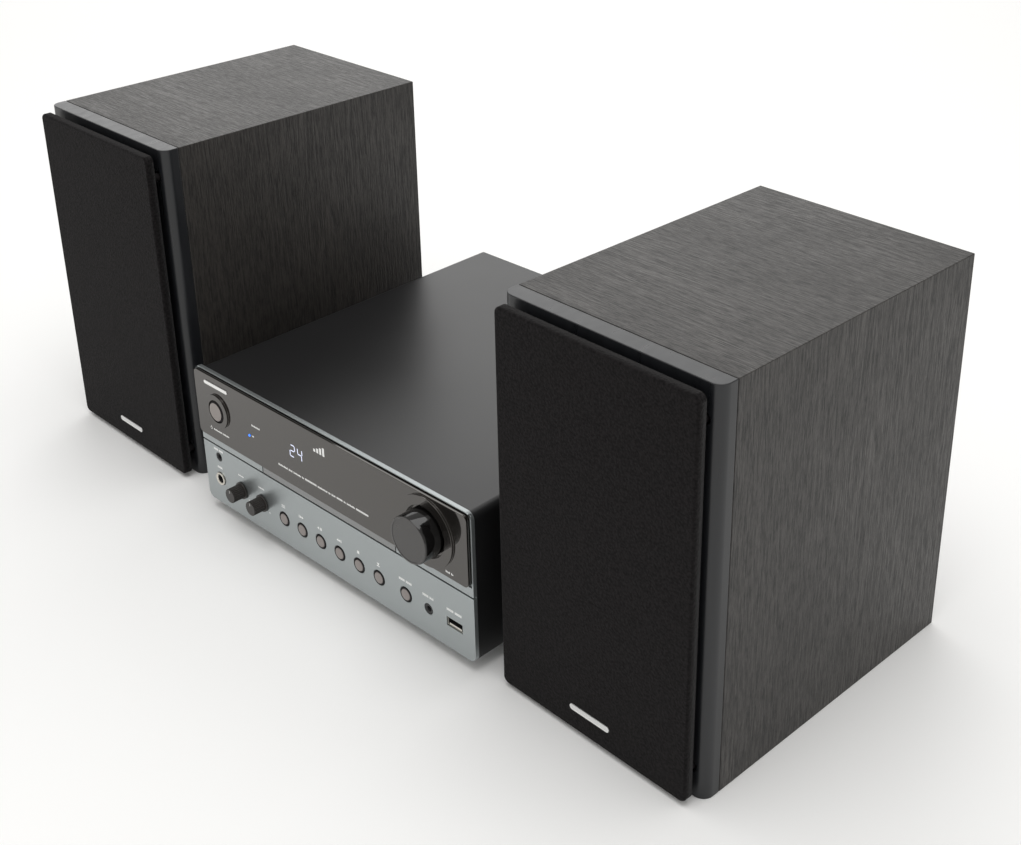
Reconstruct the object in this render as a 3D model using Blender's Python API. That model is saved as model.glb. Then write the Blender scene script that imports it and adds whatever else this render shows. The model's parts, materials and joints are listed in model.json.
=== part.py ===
"""Mini hifi system: a main unit with a disc drive, and two two-way bookshelf speakers.

Metres, +Z up. The fronts face -Y. The origin is on the floor, under the middle of the whole system.
"""

import math

import bmesh
import bpy
from mathutils import Matrix, Vector

# Clearance between neighbouring pieces, and how far a cutter runs past what it cuts
GAP = 0.0003
THROUGH = 0.01

# Sides of the round shapes
LARGE_ROUND = 28
MEDIUM_ROUND = 20
SMALL_ROUND = 14

# Main unit: x = 0 is its middle, y = 0 its front panel and z = 0 its underside
UNIT_WIDTH = 0.270
UNIT_HEIGHT = 0.1042
UNIT_DEPTH = 0.267
FOOT_HEIGHT = 0.008
FOOT_RADIUS = 0.012
FOOT_PLACES = [
    (f"foot_{row}_{side}", x, y)
    for row, y in (("front", 0.034), ("rear", 0.238))
    for side, x in (("left", -0.108), ("right", 0.108))
]
SHEET = 0.0010
COVER_INSET = 0.0012
COVER_DROP = 0.0018
COVER_BEND = 0.005
COVER_BOTTOM = 0.0015
FLOOR_SHEET = 0.0012
FLANGE_HEIGHT = 0.012
REAR_SHEET = 0.0012

# Front bezel, its skirt inside the cover, and the layer where parts are fixed behind it
BEZEL_THICKNESS = 0.003
BEZEL_CORNER = 0.005
SKIRT_CLEARANCE = 0.0004
SKIRT_BOTTOM = 0.0026
SKIRT_WALL = 0.0024
SKIRT_BACK = 0.0090
BEHIND_FRONT = BEZEL_THICKNESS + GAP
BOARD_FRONT = 0.0095
BOARD_THICKNESS = 0.0016

# Upper fascia with its two raised rings, and the strip below it
STRIP_BOTTOM = 0.0472
STRIP_TOP = 0.0540
GROOVE = 0.0008
FASCIA_WIDTH = 0.2670
FASCIA_MARGIN = 0.0013
FASCIA_PROUD = 0.0023
FASCIA_SEAT = 0.0010
FASCIA_CORNER = 0.0035
RING_PROUD = 0.0015
WELL_DEPTH = 0.0010
DISPLAY_WINDOW = ((-0.050, 0.060), (0.050, 0.096))

# Controls on the front: places are (x, z)
CONTROL_HEIGHT = 0.0783
POWER_PLACE = (-0.1092, CONTROL_HEIGHT)
POWER_RADIUS = 0.0080
POWER_PROUD = 0.0044
POWER_RING_RADIUS = 0.0123
VOLUME_PLACE = (0.0987, CONTROL_HEIGHT)
VOLUME_RADIUS = 0.0155
VOLUME_LENGTH = 0.0147
VOLUME_WELL_RADIUS = 0.0170
VOLUME_RING_RADIUS = 0.0235
VOLUME_SHAFT_RADIUS = 0.0030
ROW_HEIGHT = 0.0195
BUTTON_RADIUS = 0.0039
BUTTON_PROUD = 0.0016
BUTTON_RING_RADIUS = 0.0054
BUTTON_PITCH = 0.0192
FIRST_BUTTON = -0.0471
BUTTON_NAMES = ("menu", "previous", "play", "next", "stop", "eject")
SOURCE_PLACE = (0.0741, ROW_HEIGHT)
CAP_BACK = 0.0043
TONE_RADIUS = 0.0051
TONE_LENGTH = 0.0100
TONE_COLLAR = (0.0062, 0.0010)
TONE_SHAFT_RADIUS = 0.0025
TONE_PLACES = {"bass": (-0.0935, 0.0217), "treble": (-0.0706, 0.0217)}

# Sockets on the front: place, side of the body, front of the nose, radius of the nose, radius of the bore
ROUND_SOCKETS = {
    "headphone_socket": ((-0.1180, 0.0379), 0.010, 0.0004, 0.0030, 0.0018),
    "line_in_socket": ((0.0946, 0.0192), 0.010, 0.0004, 0.0035, 0.0018),
    "microphone_socket": ((-0.1183, 0.0205), 0.014, -0.0010, 0.0047, 0.0032),
}
USB_PLACE = (0.1175, 0.0191)
USB_CUTOUT = (0.0137, 0.0064)
USB_DEPTH = 0.0160
USB_WALL = 0.0005

# Connectors on the back: lowest and highest (x, z) of each hole, and the rows of vents
REAR_OPENINGS = {
    "speaker_terminals": ((0.066, 0.014), (0.114, 0.040)),
    "line_out_socket": ((0.020, 0.018), (0.036, 0.044)),
    "aerial_socket": ((-0.036, 0.024), (-0.022, 0.038)),
    "mains_inlet": ((-0.118, 0.016), (-0.090, 0.038)),
}
TERMINAL_PITCH = 0.012
VENT_START = (0.030, 0.066)
VENT_SIZE = (0.020, 0.003)
VENT_PITCH = (0.024, 0.007)
VENT_COUNT = (3, 4)

# Disc drive
TRAY_WIDTH = 0.1320
TRAY_LIP_WIDTH = 0.1336
TRAY_LIP_THICKNESS = 0.0020
TRAY_LENGTH = 0.160
TRAY_BOTTOM = 0.0477
TRAY_TOP = 0.0532
DISC_RADIUS = 0.060
DISC_CENTRE = 0.072
DISC_DEPTH = 0.002
DRIVE_FRONT = 0.0140
DRIVE_BACK = 0.1850
DRIVE_FLOOR = 0.0280
DRIVE_TOP = 0.0580
DRIVE_OUTER = 0.0720
DRIVE_INNER = 0.0695
DECK_HEIGHT = 0.0400
DECK_THICKNESS = 0.0012

# Boards: the main board, and what stands on it as (x, y, width, depth, height) and (x, y) of capacitors
MAIN_BOARD = ((-0.060, 0.190, 0.0070), (0.126, 0.250, 0.0086))
BOARD_BLOCKS = [
    (0.020, 0.205, 0.024, 0.024, 0.003),
    (0.060, 0.200, 0.018, 0.030, 0.004),
    (0.090, 0.205, 0.030, 0.012, 0.022),
    (-0.050, 0.226, 0.022, 0.018, 0.014),
]
CAPACITORS = [(-0.040, 0.202), (-0.020, 0.202), (0.000, 0.202)]
CAPACITOR_RADIUS = 0.006
CAPACITOR_TOP = 0.034
FIN_COUNT = 7
FIN_PITCH = 0.008
FIN_THICKNESS = 0.002

# Speakers: x = 0 is the middle, y = 0 the front of the baffle and z = 0 the underside
SPEAKER_WIDTH = 0.150
SPEAKER_HEIGHT = 0.250
SPEAKER_DEPTH = 0.217
BAFFLE_THICKNESS = 0.012
BAFFLE_ROUND = 0.007
CABINET_WALL = 0.010
BACK_RECESS = 0.003
BACK_THICKNESS = 0.010
CUP_FLANGE = ((-0.030, 0.040), (0.030, 0.100))
CUP_WALL = 0.002
CUP_DEPTH = 0.020
POST_PLACES = (-0.010, 0.010)
POST_RADIUS = 0.0045
GRILLE_WIDTH = 0.141
GRILLE_HEIGHT = 0.245
GRILLE_THICKNESS = 0.0063
GRILLE_STANDOFF = 0.0048
GRILLE_BORDER = 0.011
GRILLE_CORNER = 0.005
CLOTH = 0.001
PEG_PLACES = [(x, z) for x in (-0.0645, 0.0645) for z in (0.020, 0.230)]
PEG_RADIUS = 0.0036
PEG_LENGTH = 0.006
WOOFER_HEIGHT = 0.092
WOOFER_HOLE = 0.0490
TWEETER_HEIGHT = 0.195
TWEETER_HOLE = 0.0210
SPEAKER_PLACES = {
    "left": (-0.2469, 0.0190, math.radians(-1.22)),
    "right": (0.2231, 0.0131, math.radians(-2.13)),
}


# ---------------------------------------------------------------- drawing

def draw_box(bm, low, high, corner=0.0, along="Y", segments=3):
    """Add a box between two corners, with the edges that run along one axis rounded."""
    centre = (Vector(low) + Vector(high)) / 2
    size = Vector(high) - Vector(low)
    placed = Matrix.Translation(centre) @ Matrix.Diagonal((*size, 1.0))
    made = bmesh.ops.create_cube(bm, size=1.0, matrix=placed)
    if corner:
        axis = "XYZ".index(along)
        edges = {edge for vert in made["verts"] for edge in vert.link_edges}
        long_edges = [e for e in edges if abs((e.verts[0].co - e.verts[1].co)[axis]) > size[axis] / 2]
        bmesh.ops.bevel(
            bm, geom=long_edges, offset=corner, segments=segments, profile=0.5, affect="EDGES"
        )


def draw_rod(bm, start, end, radius, segments=SMALL_ROUND):
    """Add a cylinder from one point to another."""
    axis = Vector(end) - Vector(start)
    turned = axis.to_track_quat("Z", "Y").to_matrix().to_4x4()
    placed = Matrix.Translation((Vector(start) + Vector(end)) / 2) @ turned
    bmesh.ops.create_cone(
        bm, cap_ends=True, segments=segments, radius1=radius, radius2=radius, depth=axis.length,
        matrix=placed
    )


def draw_hole(bm, place, radius, back=THROUGH, segments=SMALL_ROUND):
    """Add a round cutter along Y at (x, z), from in front of the panel to y = back."""
    x, z = place
    draw_rod(bm, (x, -THROUGH, z), (x, back, z), radius, segments)


def draw_prism(bm, outline, depth):
    """Add a solid: a flat outline pushed along the vector depth."""
    face = bm.faces.new([bm.verts.new(point) for point in outline])
    pushed = bmesh.ops.extrude_face_region(bm, geom=[face])
    moved = [item for item in pushed["geom"] if isinstance(item, bmesh.types.BMVert)]
    bmesh.ops.translate(bm, verts=moved, vec=depth)


def draw_turned(bm, profile, closed=False, segments=MEDIUM_ROUND):
    """Spin (radius, y) points round the Y axis. A profile that isn't closed starts and ends on the axis."""
    verts = [bm.verts.new((radius, y, 0.0)) for radius, y in profile]
    edges = [bm.edges.new(pair) for pair in zip(verts, verts[1:])]
    if closed:
        edges.append(bm.edges.new((verts[-1], verts[0])))
    bmesh.ops.spin(
        bm, geom=verts + edges, cent=(0, 0, 0), axis=(0, 1, 0), angle=math.tau, steps=segments,
        use_merge=True
    )
    bmesh.ops.remove_doubles(bm, verts=bm.verts, dist=1e-6)


def stand_up(bm):
    """Turn a drawing so that its Y axis points up."""
    bmesh.ops.rotate(bm, verts=bm.verts, cent=(0, 0, 0), matrix=Matrix.Rotation(math.pi / 2, 3, "X"))


def arc(centre, radius, start, end, steps=4):
    """Points on an arc, with angles in degrees."""
    angles = [math.radians(start + (end - start) * step / steps) for step in range(steps + 1)]
    return [(centre[0] + radius * math.cos(a), centre[1] + radius * math.sin(a)) for a in angles]


def make_piece(name, bm, material, parent, place=(0, 0, 0)):
    """Turn a drawing into one sub-part's object, at its place under its parent."""
    bmesh.ops.recalc_face_normals(bm, faces=bm.faces)
    mesh = bpy.data.meshes.new(name)
    bm.to_mesh(mesh)
    bm.free()
    mesh.shade_smooth()
    mesh.set_sharp_from_angle(angle=math.radians(35))
    mesh.materials.append(material)
    piece = bpy.data.objects.new(name, mesh)
    bpy.context.scene.collection.objects.link(piece)
    piece.parent = parent
    piece.location = place
    return piece


def combine(piece, bm, operation, overlapping=False):
    """Cut a drawing from a piece (DIFFERENCE), or join it on (UNION), by a Boolean with a hidden helper."""
    helper = make_piece(f"{piece.name}_{operation.lower()}", bm, piece.active_material, piece.parent)
    helper.location = piece.location
    helper.hide_render = True
    helper.display_type = "WIRE"
    modifier = piece.modifiers.new(operation.title(), "BOOLEAN")
    modifier.operation = operation
    modifier.solver = "EXACT"
    modifier.object = helper
    modifier.use_self = overlapping


def make_empty(name, parent=None, place=(0, 0, 0), yaw=0.0):
    """An empty that pieces are placed under."""
    empty = bpy.data.objects.new(name, None)
    bpy.context.scene.collection.objects.link(empty)
    empty.parent = parent
    empty.location = place
    empty.rotation_euler = (0, 0, yaw)
    return empty


def make_material(name, colour, roughness, metallic=0.0):
    """A Principled material of one colour."""
    material = bpy.data.materials.new(name)
    material.use_nodes = True
    shader = material.node_tree.nodes["Principled BSDF"]
    shader.inputs["Base Color"].default_value = (*colour, 1.0)
    shader.inputs["Roughness"].default_value = roughness
    shader.inputs["Metallic"].default_value = metallic
    return material


# ---------------------------------------------------------------- main unit: casing

def make_front_bezel(parent, material):
    """The metallic front: lower panel, strip and seat of the fascia, with its openings and its skirt."""
    half = UNIT_WIDTH / 2
    bm = bmesh.new()
    draw_box(bm, (-half, 0, 0), (half, BEZEL_THICKNESS, UNIT_HEIGHT), BEZEL_CORNER)
    bezel = make_piece("front_bezel", bm, material, parent)

    skirt = half - COVER_INSET - SHEET - SKIRT_CLEARANCE
    skirt_top = UNIT_HEIGHT - COVER_DROP - SHEET - SKIRT_CLEARANCE
    bm = bmesh.new()
    draw_box(bm, (-skirt, 0.002, SKIRT_BOTTOM), (skirt, SKIRT_BACK, skirt_top), COVER_BEND)
    combine(bezel, bm, "UNION")

    seat = FASCIA_WIDTH / 2 + GAP
    slot = TRAY_LIP_WIDTH / 2 + GAP
    hollow = skirt - SKIRT_WALL
    (left, low), (right, high) = DISPLAY_WINDOW
    bm = bmesh.new()
    draw_box(bm, (-hollow, BEZEL_THICKNESS, SKIRT_BOTTOM + SKIRT_WALL),
             (hollow, THROUGH, skirt_top - SKIRT_WALL), COVER_BEND - SKIRT_WALL + SKIRT_CLEARANCE)
    seat_top = UNIT_HEIGHT - FASCIA_MARGIN + GAP
    draw_box(bm, (-seat, -THROUGH, STRIP_TOP - GAP), (seat, FASCIA_SEAT, seat_top))
    over = half + THROUGH
    draw_box(bm, (-over, -THROUGH, STRIP_BOTTOM - GROOVE), (over, FASCIA_SEAT, STRIP_BOTTOM))
    draw_box(bm, (-slot, -THROUGH, STRIP_BOTTOM - GROOVE / 2), (slot, THROUGH, STRIP_TOP + GAP))
    draw_box(bm, (left, -THROUGH, low), (right, THROUGH, high))
    draw_hole(bm, POWER_PLACE, POWER_RADIUS + 0.0005)
    draw_hole(bm, VOLUME_PLACE, VOLUME_SHAFT_RADIUS + 0.0015)
    for place in button_places().values():
        draw_hole(bm, place, BUTTON_RADIUS + GAP)
        draw_hole(bm, place, BUTTON_RING_RADIUS, back=0.0008)
    for place in TONE_PLACES.values():
        draw_hole(bm, place, TONE_SHAFT_RADIUS + 0.0008)
    for place, _side, _front, nose_radius, _bore in ROUND_SOCKETS.values():
        draw_hole(bm, place, nose_radius + GAP)
    x, z = USB_PLACE
    wide, high = USB_CUTOUT
    draw_box(bm, (x - wide / 2, -THROUGH, z - high / 2), (x + wide / 2, THROUGH, z + high / 2))
    combine(bezel, bm, "DIFFERENCE", overlapping=True)


def make_display_fascia(parent, material):
    """The glossy plate proud of the bezel, with raised rings round the power and volume controls."""
    half = FASCIA_WIDTH / 2
    back = FASCIA_SEAT - GAP
    bm = bmesh.new()
    draw_box(bm, (-half, -FASCIA_PROUD, STRIP_TOP), (half, back, UNIT_HEIGHT - FASCIA_MARGIN), FASCIA_CORNER)
    fascia = make_piece("display_fascia", bm, material, parent)
    bm = bmesh.new()
    for (x, z), radius in ((POWER_PLACE, POWER_RING_RADIUS), (VOLUME_PLACE, VOLUME_RING_RADIUS)):
        draw_rod(bm, (x, -FASCIA_PROUD - RING_PROUD, z), (x, 0, z), radius, LARGE_ROUND)
    combine(fascia, bm, "UNION")
    bm = bmesh.new()
    draw_hole(bm, POWER_PLACE, POWER_RADIUS + GAP, segments=MEDIUM_ROUND)
    draw_hole(bm, VOLUME_PLACE, VOLUME_WELL_RADIUS, back=WELL_DEPTH - FASCIA_PROUD, segments=LARGE_ROUND)
    draw_hole(bm, VOLUME_PLACE, VOLUME_SHAFT_RADIUS + 0.0010)
    combine(fascia, bm, "DIFFERENCE", overlapping=True)


def make_top_cover(parent, material):
    """One folded steel sheet: the top and both sides."""
    half = UNIT_WIDTH / 2 - COVER_INSET
    top = UNIT_HEIGHT - COVER_DROP
    bend = COVER_BEND
    outer = [(half, COVER_BOTTOM)] + arc((half - bend, top - bend), bend, 0, 90)
    outer += arc((bend - half, top - bend), bend, 90, 180) + [(-half, COVER_BOTTOM)]
    inner = [(SHEET - half, COVER_BOTTOM)] + arc((bend - half, top - bend), bend - SHEET, 180, 90)
    inner += arc((half - bend, top - bend), bend - SHEET, 90, 0) + [(half - SHEET, COVER_BOTTOM)]
    bm = bmesh.new()
    draw_prism(bm, [(x, BEHIND_FRONT, z) for x, z in outer + inner], (0, UNIT_DEPTH - BEHIND_FRONT, 0))
    make_piece("top_cover", bm, material, parent)


def make_chassis_tray(parent, material):
    """The steel floor with its side flanges."""
    half = UNIT_WIDTH / 2 - COVER_INSET - SHEET - SKIRT_CLEARANCE
    inner = half - FLOOR_SHEET
    front = SKIRT_BACK + 2 * GAP
    section = [(-half, 0), (half, 0), (half, FLANGE_HEIGHT), (inner, FLANGE_HEIGHT)]
    section += [(inner, FLOOR_SHEET), (-inner, FLOOR_SHEET), (-inner, FLANGE_HEIGHT), (-half, FLANGE_HEIGHT)]
    bm = bmesh.new()
    draw_prism(bm, [(x, front, z) for x, z in section], (0, UNIT_DEPTH - REAR_SHEET - 2 * GAP - front, 0))
    make_piece("chassis_tray", bm, material, parent)


def make_rear_panel(parent, material):
    """The steel back, with a hole for each connector and rows of vents."""
    half = UNIT_WIDTH / 2 - COVER_INSET - SHEET - GAP
    front = UNIT_DEPTH - REAR_SHEET - GAP
    top = UNIT_HEIGHT - COVER_DROP - SHEET - 2 * GAP
    bm = bmesh.new()
    draw_box(bm, (-half, front, 0), (half, front + REAR_SHEET, top), 0.003)
    panel = make_piece("rear_panel", bm, material, parent)
    bm = bmesh.new()
    for low, high in REAR_OPENINGS.values():
        draw_box(bm, (low[0], front - THROUGH, low[1]), (high[0], front + THROUGH, high[1]))
    for row in range(VENT_COUNT[1]):
        for column in range(VENT_COUNT[0]):
            x = VENT_START[0] + column * VENT_PITCH[0]
            z = VENT_START[1] + row * VENT_PITCH[1]
            draw_box(bm, (x, front - THROUGH, z), (x + VENT_SIZE[0], front + THROUGH, z + VENT_SIZE[1]))
    combine(panel, bm, "DIFFERENCE")


def make_feet(parent, material):
    """Four turned feet under the chassis."""
    profile = [(0, -FOOT_HEIGHT), (FOOT_RADIUS - 0.002, -FOOT_HEIGHT)]
    profile += [(FOOT_RADIUS - 0.001, 0.001 - FOOT_HEIGHT), (FOOT_RADIUS, -GAP), (0, -GAP)]
    for name, x, y in FOOT_PLACES:
        bm = bmesh.new()
        draw_turned(bm, profile)
        stand_up(bm)
        make_piece(name, bm, material, parent, (x, y, 0))


# ---------------------------------------------------------------- main unit: controls and sockets

def button_places():
    """(x, z) of the seven small buttons."""
    places = {name: (FIRST_BUTTON + BUTTON_PITCH * i, ROW_HEIGHT) for i, name in enumerate(BUTTON_NAMES)}
    places["source"] = SOURCE_PLACE
    return places


def draw_cap(bm, radius, proud, bevel, flange, stem, stem_back, segments):
    """A button: a bevelled cap, a flange behind the front that keeps it in, and a stem."""
    profile = [(0, -proud), (radius - bevel, -proud), (radius, bevel - proud), (radius, BEHIND_FRONT)]
    profile += [(flange, BEHIND_FRONT), (flange, CAP_BACK), (stem, CAP_BACK)]
    profile += [(stem, stem_back), (0, stem_back)]
    draw_turned(bm, profile, segments=segments)


def make_buttons(parent, material):
    """Seven small round buttons and the larger power button."""
    for name, (x, z) in button_places().items():
        bm = bmesh.new()
        draw_cap(bm, BUTTON_RADIUS, BUTTON_PROUD, 0.0005, 0.0052, 0.0018, 0.0076, SMALL_ROUND)
        make_piece(f"{name}_button", bm, material, parent, (x, 0, z))
    x, z = POWER_PLACE
    bm = bmesh.new()
    draw_cap(bm, POWER_RADIUS, POWER_PROUD, 0.0008, 0.0095, 0.0025, 0.0070, MEDIUM_ROUND)
    make_piece("power_button", bm, material, parent, (x, 0, z))


def make_knob(name, place, radius, back, length, bore, collar, parent, material):
    """A knob with a bevelled face, a collar round its back edge, and a bore in its back for its shaft."""
    front = back - length
    bevel, bore_end = 0.0006, front + 0.004
    collar_radius, collar_length = collar
    profile = [(0, front), (radius - bevel, front), (radius, front + bevel), (radius, back - collar_length)]
    if collar_length:
        profile += [(collar_radius, back - collar_length), (collar_radius, back)]
    else:
        profile[-1] = (radius, back)
    profile += [(bore, back), (bore, bore_end), (0, bore_end)]
    bm = bmesh.new()
    draw_turned(bm, profile, segments=MEDIUM_ROUND if collar_length else LARGE_ROUND)
    make_piece(name, bm, material, parent, (place[0], 0, place[1]))


def make_control_shaft(name, place, side, shaft_radius, tip, parent, material):
    """A potentiometer or an encoder: a square body behind the front, and its shaft."""
    half = side / 2
    bm = bmesh.new()
    draw_box(bm, (-half, BEHIND_FRONT, -half), (half, BOARD_FRONT - GAP, half))
    body = make_piece(name, bm, material, parent, (place[0], 0, place[1]))
    bm = bmesh.new()
    draw_rod(bm, (0, tip, 0), (0, 0.006, 0), shaft_radius)
    combine(body, bm, "UNION")


def make_controls(parent, materials):
    """The volume, bass and treble controls: a knob on each shaft."""
    back = WELL_DEPTH - FASCIA_PROUD - GAP
    bore = VOLUME_SHAFT_RADIUS + GAP
    make_knob("volume_knob", VOLUME_PLACE, VOLUME_RADIUS, back, VOLUME_LENGTH, bore, (0, 0), parent,
              materials["knob"])
    make_control_shaft("volume_encoder", VOLUME_PLACE, 0.013, VOLUME_SHAFT_RADIUS, -0.0110, parent,
                       materials["part"])
    bore = TONE_SHAFT_RADIUS + GAP
    for name, place in TONE_PLACES.items():
        make_knob(f"{name}_knob", place, TONE_RADIUS, -GAP, TONE_LENGTH, bore, TONE_COLLAR, parent,
                  materials["knob"])
        make_control_shaft(f"{name}_potentiometer", place, 0.011, TONE_SHAFT_RADIUS, -0.0055, parent,
                           materials["part"])


def make_round_socket(name, parent, material):
    """A jack socket: a square body behind the front and a round nose with its bore."""
    (x, z), side, front, nose_radius, bore = ROUND_SOCKETS[name]
    half = side / 2
    back = BOARD_FRONT - GAP
    bm = bmesh.new()
    draw_box(bm, (-half, BEHIND_FRONT, -half), (half, back, half))
    socket = make_piece(name, bm, material, parent, (x, 0, z))
    bm = bmesh.new()
    draw_rod(bm, (0, front, 0), (0, 0.005, 0), nose_radius)
    combine(socket, bm, "UNION")
    bm = bmesh.new()
    draw_rod(bm, (0, front - 0.001, 0), (0, back - 0.0007, 0), bore)
    combine(socket, bm, "DIFFERENCE")


def make_front_sockets(parent, materials):
    """Headphone, line-in, microphone and USB sockets."""
    make_round_socket("headphone_socket", parent, materials["part"])
    make_round_socket("line_in_socket", parent, materials["part"])
    make_round_socket("microphone_socket", parent, materials["plated"])
    x, z = USB_PLACE
    front = 0.0008
    wide, high = USB_CUTOUT[0] / 2 - GAP, USB_CUTOUT[1] / 2 - GAP - 0.00005
    bm = bmesh.new()
    draw_box(bm, (-wide, front, -high), (wide, USB_DEPTH, high))
    usb = make_piece("usb_socket", bm, materials["plated"], parent, (x, 0, z))
    bm = bmesh.new()
    draw_box(bm, (USB_WALL - wide, 0, USB_WALL - high),
             (wide - USB_WALL, USB_DEPTH - 0.002, high - USB_WALL))
    combine(usb, bm, "DIFFERENCE")
    bm = bmesh.new()
    draw_box(bm, (-0.0055, 0.0030, 0.0002), (0.0055, USB_DEPTH - 0.001, 0.0020))
    combine(usb, bm, "UNION")


def make_rear_connectors(parent, materials):
    """Connectors that reach through the rear panel: a flange outside it and a body inside."""
    outside = UNIT_DEPTH
    body, flange, lip = 0.016, 0.002, 0.002
    for name, (low, high) in REAR_OPENINGS.items():
        x, z = (low[0] + high[0]) / 2, (low[1] + high[1]) / 2
        bm = bmesh.new()
        draw_box(bm, (low[0] + GAP, outside - body, low[1] + GAP),
                 (high[0] - GAP, outside + flange / 2, high[1] - GAP))
        connector = make_piece(name, bm, materials["part"], parent)
        bm = bmesh.new()
        draw_box(bm, (low[0] - lip, outside, low[1] - lip),
                 (high[0] + lip, outside + flange, high[1] + lip), 0.001)
        combine(connector, bm, "UNION")
        bm = bmesh.new()
        if name == "speaker_terminals":
            for column in range(4):
                hole = low[0] + TERMINAL_PITCH * (column + 0.5)
                draw_rod(bm, (hole, outside - 0.006, z), (hole, outside + THROUGH, z), 0.0025)
        elif name == "mains_inlet":
            draw_box(bm, (x - 0.009, outside - 0.010, z - 0.005),
                     (x + 0.009, outside + THROUGH, z + 0.005), 0.004)
        elif name == "line_out_socket":
            for height in (z - 0.006, z + 0.006):
                draw_rod(bm, (x, outside - 0.008, height), (x, outside + THROUGH, height), 0.0028)
        else:
            draw_rod(bm, (x, outside - 0.010, z), (x, outside + THROUGH, z), 0.0042)
        combine(connector, bm, "DIFFERENCE")


# ---------------------------------------------------------------- main unit: inside

def make_drive_frame(parent, material):
    """The drive's moulded channel with rails for the tray, a bridge over it and four legs."""
    rail, rail_top = DRIVE_INNER - 0.005, TRAY_BOTTOM - GAP
    rail_bottom = TRAY_BOTTOM - 0.002
    half_section = [(DRIVE_OUTER, DRIVE_FLOOR), (DRIVE_OUTER, DRIVE_TOP), (DRIVE_INNER, DRIVE_TOP)]
    half_section += [(DRIVE_INNER, rail_top), (rail, rail_top), (rail, rail_bottom)]
    half_section += [(DRIVE_INNER, rail_bottom), (DRIVE_INNER, DRIVE_FLOOR + 0.002)]
    section = half_section + [(-x, z) for x, z in reversed(half_section)]
    bm = bmesh.new()
    draw_prism(bm, [(x, DRIVE_FRONT, z) for x, z in section], (0, DRIVE_BACK - DRIVE_FRONT, 0))
    frame = make_piece("drive_frame", bm, material, parent)
    bm = bmesh.new()
    bridge = DRIVE_OUTER - 0.001
    draw_box(bm, (-bridge, 0.058, DRIVE_TOP - 0.001), (bridge, 0.086, DRIVE_TOP + 0.0015))
    leg = DRIVE_OUTER - 0.004
    for x in (-leg, leg):
        for y in (DRIVE_FRONT + 0.010, DRIVE_BACK - 0.010):
            draw_rod(bm, (x, y, FLOOR_SHEET + GAP), (x, y, DRIVE_FLOOR + 0.001), 0.003)
    combine(frame, bm, "UNION")
    bm = bmesh.new()
    draw_box(bm, (-0.040, 0.030, 0.02), (0.040, 0.150, DRIVE_FLOOR + 0.01))
    combine(frame, bm, "DIFFERENCE")


def make_disc_tray(parent, tray_material, lip_material):
    """The drawer with its disc recess and slot, and the metallic lip on its front."""
    half, lip = TRAY_WIDTH / 2, TRAY_LIP_WIDTH / 2
    bm = bmesh.new()
    draw_box(bm, (-lip, 0, STRIP_BOTTOM), (lip, TRAY_LIP_THICKNESS, STRIP_TOP - GAP))
    make_piece("tray_front", bm, lip_material, parent)

    front = TRAY_LIP_THICKNESS + GAP
    bm = bmesh.new()
    draw_box(bm, (-half, front, TRAY_BOTTOM), (half, front + TRAY_LENGTH, TRAY_TOP))
    tray = make_piece("disc_tray", bm, tray_material, parent)
    recess = DISC_RADIUS + 0.001
    bm = bmesh.new()
    draw_rod(bm, (0, DISC_CENTRE, TRAY_TOP - DISC_DEPTH), (0, DISC_CENTRE, 0.06), recess, LARGE_ROUND)
    draw_box(bm, (-0.018, DISC_CENTRE - 0.018, 0.04), (0.018, 0.150, 0.06), 0.004, "Z")
    combine(tray, bm, "DIFFERENCE", overlapping=True)


def make_deck(parent, materials):
    """The lifting deck with the spindle's disc seat and the laser sled."""
    top = DECK_HEIGHT + DECK_THICKNESS
    bm = bmesh.new()
    draw_box(bm, (-0.030, 0.045, DECK_HEIGHT), (0.030, 0.140, top), 0.003, "Z")
    deck = make_piece("drive_deck", bm, materials["steel"], parent)
    bm = bmesh.new()
    draw_rod(bm, (0, DISC_CENTRE, 0.03), (0, DISC_CENTRE, 0.05), 0.004)
    draw_box(bm, (-0.014, DISC_CENTRE + 0.016, 0.03), (0.014, 0.134, 0.05))
    combine(deck, bm, "DIFFERENCE")

    profile = [(0, 0.0073), (0.003, 0.0073), (0.0072, 0.0052), (0.013, 0.0045), (0.013, 0.0025)]
    profile += [(0.0012, 0.0025), (0.0012, -0.0040), (0, -0.0040)]
    bm = bmesh.new()
    draw_turned(bm, profile, segments=SMALL_ROUND)
    stand_up(bm)
    make_piece("disc_spindle", bm, materials["plastic"], parent, (0, DISC_CENTRE, DECK_HEIGHT))

    bm = bmesh.new()
    draw_box(bm, (-0.0120, -0.0100, 0.0375 - top), (0.0120, 0.0100, 0.0435 - top), 0.002, "Z")
    sled = make_piece("laser_sled", bm, materials["plastic"], parent, (0, DISC_CENTRE + 0.028, top))
    bm = bmesh.new()
    draw_rod(bm, (0, 0, 0.042 - top), (0, 0, 0.0455 - top), 0.003)
    combine(sled, bm, "UNION")


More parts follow.
